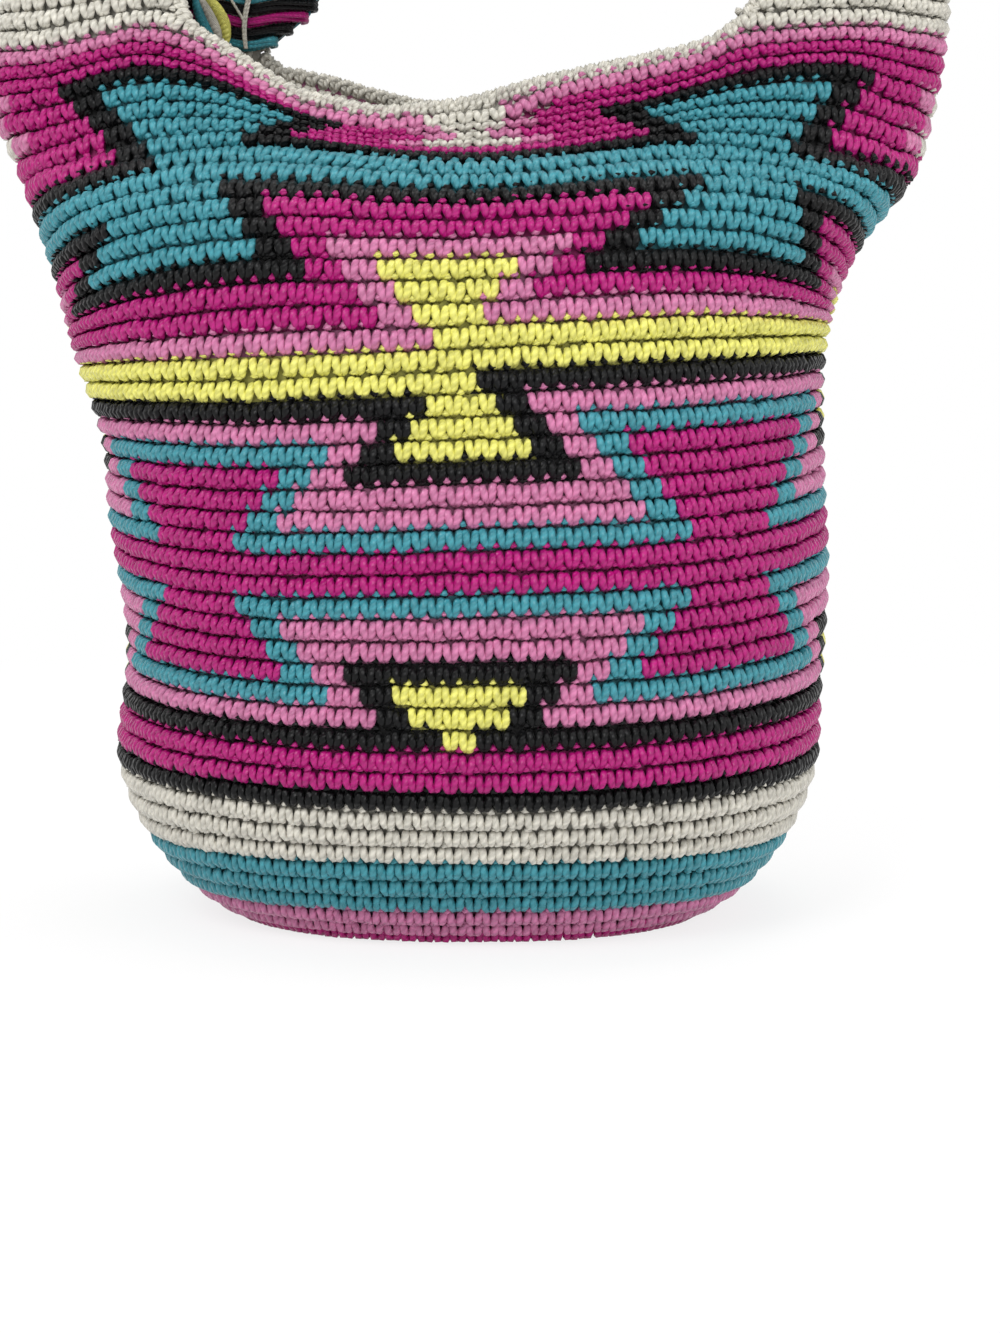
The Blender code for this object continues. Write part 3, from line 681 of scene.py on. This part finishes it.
def yarn_material(name, colour, specular):
    """Glossy twisted yarn: fine slanting plies with painted shade in their grooves, uneven dye and a soft
    sheen.
    """
    made = Nodes(bpy.data.materials.new(name))
    base = np.array(srgb(colour))
    plies = made.add("Mapping", Vector=made.places()["UV"], Rotation=(0, 0, 0.62))
    twist = made.wave("Y", 1.5, 0.6, plies.outputs["Vector"])
    tone = made.ramp(made.noise(210.0, 2.0), base * 0.84, np.minimum(base * 1.14, 1.0), 0.30, 0.72)
    # Painted shade: the grooves between the plies darken the yarn's colour to 80 per cent
    ply_groove_shade = made.ramp(twist, (0.80, 0.80, 0.80), (1, 1, 1))
    dyed_and_shaded = made.add("MixRGB", 1.0, tone, ply_groove_shade, blend_type="MULTIPLY").outputs["Color"]
    height = made.math("ADD", twist, made.math("MULTIPLY", made.noise(1900.0, 2.0), 0.25))
    return made.surface(dyed_and_shaded, height, 0.55, 0.0005, Roughness=0.36, Specular_IOR_Level=specular,
                        Sheen_Weight=0.05, Sheen_Roughness=0.4)


def shaded_backing_material(name, colour):
    """Yarn deep between the stitches: its colour darkened as painted shade, with a random tone."""
    made = Nodes(bpy.data.materials.new(name))
    base = np.array(srgb(colour))
    noise = made.noise(600.0, 3.0)
    # Painted shade: the yarn's colour darkened to 30 to 62 per cent, with a random tone between
    tone = made.ramp(noise, base * 0.30 + 0.001, base * 0.62 + 0.001)
    return made.surface(tone, noise, 0.6, 0.0006, Roughness=0.8)


def cloth_material():
    """Matt tan cloth with a fine plain weave."""
    made = Nodes(bpy.data.materials.new("lining_cloth_woven"))
    threads = [made.wave(way, 420.0, 0.4, made.places()["Object"]) for way in ("X", "Z")]
    weave = made.math("MULTIPLY", *threads)
    tone = made.ramp(made.noise(90.0, 4.0), srgb((0.60, 0.53, 0.43)), srgb((0.76, 0.69, 0.58)))
    return made.surface(tone, weave, 0.5, 0.0003, Roughness=0.9)


YARN = {name: yarn_material(f"yarn_{name}_glossy", colour, 0.2 if name == "black" else 0.36)
        for name, colour in YARNS.items()}
# Darkened copies of the yarn colours, as painted shade between the stitches
SHADED_BACKING = {name: shaded_backing_material(f"deep_{name}", colour) for name, colour in YARNS.items()}
CLOTH = cloth_material()


# Sack


def cut_mouth(piece, drop=0.0):
    """Cut the front and the back scoop out of a closed shell and keep the result as its mesh."""
    cutters = []
    for side in (-1, 1):
        curve = mouth_curve(side, drop)
        above = EAR_HEIGHT + 0.02
        outline = np.vstack([curve, [(curve[-1][0], above), (curve[0][0], above)]])
        near, far = (0.0005, BAG_DEPTH) if side > 0 else (-BAG_DEPTH, -0.0005)
        index = np.arange(len(outline))
        points = np.vstack([np.insert(outline, 1, place, axis=1) for place in (near, far)])
        faces = [index, len(index) + index[::-1], *ring_quads([0], [len(index)], len(index))[:, [1, 0, 3, 2]]]
        mesh = bpy.data.meshes.new("cutter")
        mesh.from_pydata(points.tolist(), [], [face.tolist() for face in faces])
        cutters.append(put("cutter", mesh))
        cut = piece.modifiers.new("scoop", "BOOLEAN")
        cut.operation = "DIFFERENCE"
        cut.object = cutters[-1]
    bpy.context.view_layer.update()
    evaluated = piece.evaluated_get(bpy.context.evaluated_depsgraph_get())
    mesh = bpy.data.meshes.new_from_object(evaluated)
    piece.modifiers.clear()
    old = piece.data
    piece.data = mesh
    bpy.data.meshes.remove(old)
    for cutter in cutters:
        bpy.data.objects.remove(cutter, do_unlink=True)


def drift(row):
    """Drift of the chart's columns at a row."""
    return float(along(DRIFT, row))


def round_stitches(row):
    """Number of stitches in a round: it falls where the bottom closes."""
    if row < 37:
        return STITCHES
    ring = on_wall(np.arange(200) / 200, row)[0]
    return int(round(np.sum(np.linalg.norm(ring - np.roll(ring, -1, axis=0), axis=1)) / STITCH_WIDTH))


def signed_place(stitch):
    """Stitches from the middle of the front, negative to the left."""
    return (stitch + STITCHES / 2) % STITCHES - STITCHES / 2


def round_frames(row, inset, way):
    """Frames of one round's stitches, their room below the rim and their chart places."""
    count = round_stitches(row)
    stitch = np.arange(count) + 0.5
    turns = stitch / count + drift(row)
    centres, right, down, normal = sack_frame(turns, row, inset)
    upper = on_wall(turns, max(row - 0.5, TOP_ROW), inset)[0]
    lower = on_wall(turns, min(row + 0.5, BOTTOM_ROW), inset)[0]
    pitches = np.maximum(np.linalg.norm(upper - lower, axis=1), 0.0030)
    widths = np.linalg.norm(np.roll(centres, -1, axis=0) - centres, axis=1)
    room = rim_distance(centres) / np.sqrt(np.maximum(1 - normal[:, 2] ** 2, 0.05))
    place = signed_place(stitch * STITCHES / count)
    return [centres, right * way, down, normal * way, widths, pitches], room, place


def stitch_colour(signed, row, room):
    """Colour of a stitch by the chart, but for the last ones along the rim."""
    if row == -3 and -2.6 < signed < 1.6:
        return "cream"
    if -3 < row < 1 and room < 0.0020:
        return "pink"
    return chart(signed, row)


def left_out(signed, row):
    """Whether a stitch falls away where the front dips and its rows run out."""
    first, last = RUN_OUT.get(row, (0, 0))
    return first < signed < last


def make_gathered(gathered, draws, suffix="stitches", template=SINGLE_CROCHET):
    """One piece for each colour and part of the sack."""
    for (part, colour), stitches in sorted(gathered.items()):
        frames = [np.array(values) for values in zip(*stitches)]
        block = set_stitches(*frames, draws, template)
        make_yarn(f"{part}_{colour}_{suffix}", [block], colour, "crochet_body")


def make_rounds(last, draws, inside=False):
    """Rounds of the ears and the sack down to the last one, gathered by colour and by front and back.

    Inside, they are the wrong side where the lining leaves it bare: in the ears and under the rim.
    """
    inset, way = (WALL - 0.0002, -1) if inside else (0.0, 1)
    gathered = {}
    for row in range(math.ceil(TOP_ROW), last + 1):
        frames, rooms, places = round_frames(row, inset, way)
        for index, (room, place) in enumerate(zip(rooms, places)):
            colour = stitch_colour(place, row, room)
            if inside:
                part, skipped = "inside", room < LEAST_ROOM or (row > -3 and room > 1.6 * LINING_DROP)
                colour = "cream" if row > -5 and room < 0.015 else colour
            else:
                part = "front" if frames[0][index, 1] < 0 else "back"
                skipped = room < (LEAST_ROOM if row > -3 else CREAM_ROOM) or left_out(place, row)
            if not skipped:
                gathered.setdefault((part, colour), []).append([values[index] for values in frames])
    make_gathered(gathered, draws)


def make_base_stitches(draws):
    """Rounds of the underside, from the edge of the base to its middle, with their outsides down."""
    right_half, left_half, depth = (float(value) for value in section(0.0))
    gathered = {}
    fine = np.linspace(0, 2 * math.pi, 721)
    power = 2 / WALL_SQUARENESS
    across, deep = (np.sign(values) * np.abs(values) ** power for values in (np.sin(fine), np.cos(fine)))
    for number, colour in enumerate(BASE_COLOURS):
        inset = (number + 0.5) * ROW_PITCH
        half = np.where(across >= 0, right_half, left_half) - inset
        ring = np.stack([half * across, -max(depth - inset, 0.001) * deep], axis=1)
        lengths = lengths_along(ring)
        count = max(int(round(lengths[-1] / STITCH_WIDTH)), 6)
        places = (np.arange(count) + 0.5) / count * lengths[-1]
        here, ahead, behind = (at_length(ring, lengths, (places + shift) % lengths[-1])
                               for shift in (0, 0.0005, -0.0005))
        tangent = unit(ahead - behind)
        inward = np.stack([-tangent[:, 1], tangent[:, 0]], axis=1)
        inward *= np.where(np.sum(inward * here, axis=1, keepdims=True) > 0, -1.0, 1.0)
        flat = [np.insert(values, 2, level, axis=1)
                for values, level in ((here, WRONG_SIDE), (tangent, 0), (inward, 0))]
        gathered.setdefault(("base", colour), []).extend(
            zip(*flat, np.tile([0, 0, -1.0], (count, 1)), [lengths[-1] / count] * count, [ROW_PITCH] * count))
    make_gathered(gathered, draws, "rounds", PLAIN_V)


def make_sack_wall():
    """Deep yarn that closes the fabric behind the stitches, in the chart's colours darkened as painted shade.
    """
    rows = np.arange(TOP_ROW, BOTTOM_ROW + 0.5)
    turns = np.arange(STITCHES) / STITCHES
    outer, inner = ([on_wall(turns, row, inset)[0] for row in rows]
                    for inset in (YARN_DEPTH, WALL - WRONG_SIDE))
    wall = make_piece("sack_wall", *shell(outer, inner), SHADED_BACKING["cream"], "tapestry_crochet", "crochet_body")
    names = list(YARNS)
    for name in names[1:]:
        wall.data.materials.append(SHADED_BACKING[name])
    middles = np.empty((len(wall.data.polygons), 3))
    wall.data.polygons.foreach_get("center", middles.ravel())
    room = rim_distance(middles)
    chosen = np.full(len(middles), names.index("magenta"), np.int32)
    band = len(rows) - 1
    for face in range(2 * band * STITCHES):
        ring, column = divmod(face, STITCHES)
        row = int(math.floor(rows[ring if ring < band else 2 * band - 1 - ring] + 0.75))
        place = signed_place(((column + 0.5) / STITCHES - drift(row)) * STITCHES)
        chosen[face] = names.index(stitch_colour(place, row, max(room[face], 0.0)))
    wall.data.polygons.foreach_set("material_index", chosen)
    cut_mouth(wall)


# Edging


def wall_depth(x, height, inset):
    """Distance of the leaning wall from the middle plane at places across the sack."""
    right, left, depth = section(height)
    step = 0.0005
    lean = (section(height + step)[2] - section(height - step)[2]) / (2 * step)
    level_inset = inset * np.hypot(1, lean)
    half = np.where(x >= 0, right, left) - level_inset
    share = np.minimum(np.abs(x) / half, 1.0)
    return (depth - level_inset) * (1 - share ** WALL_SQUARENESS) ** (1 / WALL_SQUARENESS)


def evenly(points, spacing):
    """Places at even distances along a line, with its directions there and the distance."""
    lengths = lengths_along(points)
    count = max(int(round(lengths[-1] / spacing)), 1)
    places = (np.arange(count) + 0.5) / count * lengths[-1]
    here, ahead, behind = (at_length(points, lengths, places + spacing * shift) for shift in (0, 0.5, -0.5))
    return here, unit(ahead - behind), lengths[-1] / count


def edging_line(side, lift=EDGING / 2 + GAP):
    """Line along the cut rim, lifted off it; without a lift it is the edging's middle."""
    curve = mouth_curve(side)
    if side > 0:
        curve = curve[int(np.argmin(curve[:, 0])) + 1:]
    steps = unit(np.vstack([curve[1] - curve[0], curve[2:] - curve[:-2], curve[-1] - curve[-2]]))
    depth = wall_depth(curve[:, 0], curve[:, 1], WALL / 2 + RIDGE / 2)
    lifted = curve + steps[:, ::-1] * [-lift, lift]
    return np.insert(lifted, 1, side * depth, axis=1)


def make_edging(name, side, draws):
    """A round of single crochet along the cut rim: two faces and the chain on top, round a core."""
    line, core_line = edging_line(side), edging_line(side, EDGING_CORE_LIFT)
    if side > 0:
        line, core_line = (np.vstack([each[:1] + unit(each[:1] - each[1:2]) * CORNER_REACH, each])
                           for each in (line, core_line))
    centres, tangent, width = evenly(line, 0.8 * STITCH_WIDTH)
    out = np.tile(np.array([0.0, side, 0.0]), (len(centres), 1))
    up = unit(np.cross(tangent, out))
    up *= np.where(np.sum(up * np.cross(tangent, [0, 1, 0]), axis=1, keepdims=True) < 0, -1.0, 1.0)
    out = unit(out - tangent * np.sum(out * tangent, axis=1, keepdims=True))
    count = len(centres)
    widths, tall = np.full(count, width), np.full(count, EDGING + 0.0010)
    blocks = []
    for face in (1, -1):
        middle = centres + out * face * (EDGING / 2 - STITCH_SINK) - up * EDGING_FACE_DROP
        blocks.append(set_stitches(middle, tangent * face, -up, out * face, widths, tall, draws))
    middle = centres + up * (EDGING / 2 - EDGING_CHAIN_SINK)
    blocks.append(set_stitches(middle, out, tangent, up, np.full(count, EDGING), widths * 1.05, draws))
    blocks.append(tube(core_line, EDGING / 2 - EDGING_CORE_SINK, 10))
    make_yarn(f"{name}_stitches", blocks, "cream", name)


# Strap


def ear_arc(right, share):
    """Points of an ear's top at shares of the way round it, from the front edge to the back edge."""
    front, back = (mouth_curve(side)[-1 if right else 0][0] for side in (-1, 1))
    half_right, half_left, depth = (float(value) for value in section(EAR_HEIGHT))
    half = (half_right if right else half_left) - WALL / 2
    deep = depth - WALL / 2
    power = WALL_SQUARENESS
    start = math.acos(min((abs(front) / half) ** (power / 2), 1.0))
    end = math.acos(min((abs(back) / half) ** (power / 2), 1.0))
    swing = -start + np.asarray(share, float) * (start + end)
    x = half * np.cos(swing) ** (2 / power)
    y = deep * np.sign(np.sin(swing)) * np.abs(np.sin(swing)) ** (2 / power)
    return np.stack([x if right else -x, y, np.full_like(x, EAR_HEIGHT + GAP)], axis=-1)


def strap_path():
    """Middle line of the strap, over the gap between the ears, as the frame has it."""
    left, right = ear_arc(False, [0.5])[0], ear_arc(True, [0.5])[0]
    top = STRAP_TOP - STRAP_THICKNESS / 2
    rise = top - EAR_HEIGHT
    path = [(left[0], left[2]), (left[0] + 0.032, left[2] + 0.30 * rise),
            (left[0] + 0.068, left[2] + 0.68 * rise), (0.0, top), (0.065, left[2] + 0.90 * rise),
            (right[0] - 0.030, left[2] + 0.62 * rise), (right[0] - 0.002, left[2] + 0.24 * rise),
            (right[0], right[2])]
    return rounded(path, 24)


STRAP_PATH = strap_path()
STRAP_LENGTHS = lengths_along(STRAP_PATH)
STRAP_LENGTH = STRAP_LENGTHS[-1]


def strap_frame(goal, place):
    """Middle points and normals of the strap at distances along it and places across it, from -1 to 1."""
    goal, place = np.broadcast_arrays(np.asarray(goal, float), np.asarray(place, float))
    goal = np.clip(goal, 0, STRAP_LENGTH)
    step = 0.0025
    here, ahead, behind = (at_length(STRAP_PATH, STRAP_LENGTHS, goal + shift) for shift in (0, step, -step))
    x, z = here[..., 0], here[..., 1]
    level = np.zeros_like(x)
    tangent = unit(ahead - behind)
    outward = np.stack([-tangent[..., 1], level, tangent[..., 0]], axis=-1)
    settle = np.minimum(np.minimum(goal, STRAP_LENGTH - goal) / STRAP_SETTLE, 1.0)
    blend = (settle * settle * (3 - 2 * settle))[..., None]
    cup = outward * (STRAP_CUP * place * place)[..., None]
    flat = np.stack([x, place * STRAP_WIDTH / 2, z], axis=-1) - cup
    right_end = (goal > STRAP_LENGTH / 2)[..., None]
    share = (place + 1) / 2
    anchor = np.where(right_end, ear_arc(True, share), ear_arc(False, share))
    foot = np.where(right_end, STRAP_PATH[-1], STRAP_PATH[0])
    curled = anchor + np.stack([x - foot[..., 0], level, z - foot[..., 1]], axis=-1)
    sideways = unit(np.stack([anchor[..., 0] / 6, anchor[..., 1] * 2.2, level], axis=-1))
    return curled * (1 - blend) + flat * blend, unit(sideways * (1 - blend) + outward * blend)


def strap_steps(goal, place, along_step, across_step):
    """Steps between points of the strap on both sides of the given ones."""
    return (strap_frame(goal + along_step, place + across_step)[0]
            - strap_frame(goal - along_step, place - across_step)[0])


def make_strap(draws):
    """Short rows of single crochet from ear to ear, on both faces and round both edges of a thin core."""
    rows = int(round(STRAP_LENGTH / ROW_PITCH))
    across = int(round(STRAP_WIDTH / STITCH_WIDTH))
    step = 0.002
    row_goals = (np.arange(rows) + 0.5) / rows * STRAP_LENGTH
    goal, place = np.meshgrid(row_goals, (np.arange(across) + 0.5) / across * 2 - 1, indexing="ij")
    goal, place = goal.ravel(), place.ravel()
    middle, normal = strap_frame(goal, place)
    right = unit(strap_steps(goal, place, 0, 0.05))
    down = unit(strap_steps(goal, place, -step, 0))
    down = unit(down - right * np.sum(down * right, axis=1, keepdims=True))
    normal = np.cross(right, down) * np.sign(np.sum(np.cross(right, down) * normal, axis=1, keepdims=True))
    widths = np.linalg.norm(strap_steps(goal, place, 0, 1 / across), axis=1)
    pitches = np.full(len(goal), STRAP_LENGTH / rows)
    for name, way in (("strap_outside", 1), ("strap_inside", -1)):
        centres = middle + normal * way * (STRAP_THICKNESS / 2 - STITCH_SINK)
        block = set_stitches(centres, right * way, down, normal * way, widths, pitches, draws)
        make_yarn(name, [block], "cream", "shoulder_strap")
    edges = []
    for way in (-1, 1):
        middle = strap_frame(row_goals, way)[0]
        out = unit(middle - strap_frame(row_goals, 0.9 * way)[0])
        down = unit(strap_steps(row_goals, way, -step, 0))
        edges.append(set_stitches(middle - out * STRAP_EDGE_SINK, np.cross(down, out), down, out,
                                  np.full(rows, STRAP_THICKNESS - 2 * STITCH_SINK), pitches[:rows], draws))
    make_yarn("strap_edges", edges, "cream", "shoulder_strap")

    goal, place = np.meshgrid(np.linspace(0.001, STRAP_LENGTH - 0.001, rows + 1), np.linspace(-0.97, 0.97, 9),
                              indexing="ij")
    middle, normal = strap_frame(goal, place)
    half = STRAP_THICKNESS / 2 - STRAP_CORE_SINK
    ring = np.concatenate([middle + normal * half, (middle - normal * half)[:, ::-1]], axis=1)
    count = ring.shape[1]
    starts = count * np.arange(rows)
    caps = [[start + spot, start + spot + 1, start + count - 2 - spot, start + count - 1 - spot][::flip]
            for start, flip in ((0, -1), (rows * count, 1)) for spot in range(count // 2 - 1)]
    faces = [np.vstack([ring_quads(starts, starts + count, count), caps])]
    # The core wears the darkened cream backing: painted shade between the strap's stitches
    make_piece("strap_core", ring.reshape(-1, 3), faces, SHADED_BACKING["cream"], "yarn_cream", "shoulder_strap")


# Lining


def make_lining():
    """Tan cloth sack with slack folds, tacked inside a little below the edging."""
    rows = np.concatenate([np.arange(-3, 36, 1.0), np.arange(36, BOTTOM_ROW, 0.75), [BOTTOM_ROW]])
    turns = np.arange(220) / 220
    phase = 2 * math.pi * turns

    def folds(row):
        deep = np.clip((row + 1) / 12, 0, 1) * np.clip((BOTTOM_ROW - row) / 6, 0, 1)
        wave = (np.sin(9 * phase + 0.11 * row) + 0.7 * np.sin(17 * phase - 0.17 * row + 1.3)
                + 0.5 * np.sin(31 * phase + 0.23 * row + 0.4) + 0.6 * np.sin(5 * phase + 0.45 * row))
        return np.clip(wave + 1.2, 0, 4) * FOLD_DEPTH * deep

    outer, inner = ([skin(turns, plain_height(row, turns), WALL + GAP + depth + folds(row))[0]
                     for row in rows] for depth in (0.0, LINING * 0.7))
    lining = make_piece("lining_cloth_sack", *shell(outer, inner), CLOTH, "lining_cloth", "lining")
    cut_mouth(lining, LINING_DROP)


# Carried yarns


def carried_points(level, thickness):
    """Run of a yarn bundle across the inside of the left ear, dipped where the catch stitch holds it."""
    curve = mouth_curve(1)
    height = MOUTH_HEIGHT + EAR_RISE + level
    beyond = [x for x, z in curve if z > height and x < -0.5 * EAR_FRONT_GAP]
    end = max(beyond[-1], BUNDLE_RIGHT * EAR_FRONT_GAP) + 0.0015
    x = np.linspace(BUNDLE_LEFT * EAR_FRONT_GAP, end, 30)
    dip = YARN_BUNDLE * 0.6 * np.exp(-((x - CATCH_PLACE * EAR_FRONT_GAP) / (2.2 * YARN_BUNDLE)) ** 2)
    z = height - dip
    inset = bundle_inset(level) + thickness / 2
    return np.stack([x, wall_depth(x, z, inset), z], axis=1)


def bundle_inset(level):
    """How far inside the leaning wall's face a bundle's back lies, at a level above the ear's foot."""
    return WALL + 5 * GAP + level / 50


def yarn_places(held, forward, steps=5):
    """Smooth line in front of the bundles through shares of the way out to the ear and levels."""
    places = []
    for share, level in held:
        x = share * EAR_FRONT_GAP
        height = MOUTH_HEIGHT + EAR_RISE + level
        places.append((x, float(wall_depth(x, height, bundle_inset(level) + forward)), height))
    return rounded(places, steps)


def make_bundles(draws):
    """Strands carried across the wrong side of the left ear and down its cut edge."""
    for name, level, colour in BUNDLES:
        line = carried_points(level, YARN_BUNDLE)
        line = np.vstack([line, line[-1] + BUNDLE_WRAP])
        share = np.linspace(0, 1, len(line))
        strands = []
        for strand in range(BUNDLE_STRANDS):
            angle = 2 * math.pi * strand / BUNDLE_STRANDS + draws.random() * 0.6 + 3.0 * share
            wander = 0.0002 * np.sin(9 * share + 6 * draws.random())
            offset = np.stack([0 * share, np.cos(angle) * 0.0010 + wander, np.sin(angle) * 0.0011], axis=1)
            strands.append(tube(line + offset, STRAND_RADIUS, 7))
        make_yarn(name + "_strands", strands, colour, name)
    curve = mouth_curve(1)
    edge = curve[:int(np.argmin(curve[:, 0])) + 1]
    edge = edge[edge[:, 1] < EAR_HEIGHT - 0.008][:-2]
    share = np.linspace(0, 1, len(edge))
    for name, colour, forward, beside in EDGE_STRANDS:
        depth = wall_depth(edge[:, 0], edge[:, 1], WALL) + forward - 0.0010
        wave = 0.0005 * np.sin(8 * share + forward * 900)
        line = np.stack([edge[:, 0] + beside + wave, depth, edge[:, 1] - 0.0004], axis=1)
        strands = [tube(line + [0.0006 * way, 0, 0.0004 * way], 0.0010) for way in (-1, 1)]
        make_yarn(f"{name}_edge", strands, colour, name)


def make_holding_yarns():
    """The cream stitch that holds the bundles and the loop of three strands beside it."""
    forward = 1.25 * YARN_BUNDLE + GAP
    line = yarn_places(CATCH_STITCH, forward)
    spread = np.linspace(1.0, 0.35, len(line))[:, None] * [0.0006, 0, 0]
    strands = [tube(line + spread * way, 0.00055, 7) for way in (-1, 1)]
    strands.append(tube(yarn_places(CATCH_BRANCH, forward), 0.0005, 7))
    make_yarn("catch_stitch_strands", strands, "cream", "catch_stitch")
    line = yarn_places(LOOP, 1.85 * YARN_BUNDLE + 3 * GAP, 6)
    share = np.linspace(0, 1, len(line))
    swell = 0.0006 + 0.0016 * np.sin(math.pi * np.clip(share * 0.9 + 0.05, 0, 1)) ** 0.7
    shift = 0.0032 * np.sin(math.pi * np.clip(share * 0.92 + 0.04, 0, 1)) ** 0.6
    for colour, place in (("teal", -1), ("cream", 0), ("yellow", 1)):
        strand = tube(line + shift[:, None] * [place, 0, 0.25 * place], swell, 10)
        make_yarn(f"loop_{colour}_strand", [strand], colour, "carried_yellow_loop")


def main_scene():
    """Every piece of the bag."""
    draws = np.random.default_rng(SEED)
    make_sack_wall()
    make_rounds(int(BOTTOM_ROW), draws)
    make_rounds(3, draws, inside=True)
    make_base_stitches(draws)
    make_edging("front_edging", -1, draws)
    make_edging("back_edging", 1, draws)
    make_strap(draws)
    make_lining()
    make_bundles(draws)
    make_holding_yarns()


def make_stage():
    """Pale floor and backdrop, soft lamps and the camera."""
    made = Nodes(bpy.data.materials.new("pale_floor"))
    shader = made.fill(made.tree.nodes["Principled BSDF"], Base_Color=(0.92, 0.92, 0.92, 1), Roughness=0.9)
    white = made.add("Emission", Color=(1, 1, 1, 1), Strength=1.0)
    far = made.add("VectorMath", made.add("NewGeometry").outputs["Position"], operation="LENGTH")
    fade = made.add("MapRange", Value=far.outputs["Value"], From_Min=0.15, From_Max=0.75, To_Min=0.80)
    share = made.math("MULTIPLY", made.seen(), fade.outputs["Result"])
    mix = made.add("MixShader", share, shader.outputs["BSDF"], white.outputs["Emission"])
    made.fill(made.tree.nodes["Material Output"], Surface=mix.outputs["Shader"])
    mesh = bpy.data.meshes.new("floor")
    corners = [(x * FLOOR_REACH, y * FLOOR_REACH, 0) for x, y in ((-1, -1), (1, -1), (1, 1), (-1, 1))]
    mesh.from_pydata(corners, [], [(0, 1, 2, 3)])
    mesh.materials.append(made.owner)
    put("floor", mesh)

    world = bpy.data.worlds.new("studio")
    bpy.context.scene.world = world
    made = Nodes(world)
    level = made.add("MapRange", Value=made.seen(), To_Min=0.78, To_Max=1.0)
    made.fill(made.tree.nodes["Background"], Color=(1, 1, 1, 1), Strength=level.outputs["Result"])

    for name, place, power, size in LAMPS:
        lamp = bpy.data.lights.new(name, "AREA")
        lamp.energy = power
        lamp.size = size
        thing = put(name, lamp)
        thing.location = place
        thing.rotation_euler = (Vector((0, 0, 0.18)) - Vector(place)).to_track_quat("-Z", "Y").to_euler()

    camera = bpy.data.cameras.new("camera")
    camera.sensor_width = 36
    camera.lens = 36 * CAMERA_REACH / CAMERA_FRAME
    view = put("camera", camera)
    view.location = CAMERA_PLACE
    view.rotation_euler = (math.radians(90 - CAMERA_PITCH), 0, 0)
    bpy.context.scene.camera = view
    bpy.context.scene.view_settings.view_transform = "Standard"


make_stage()
main_scene()
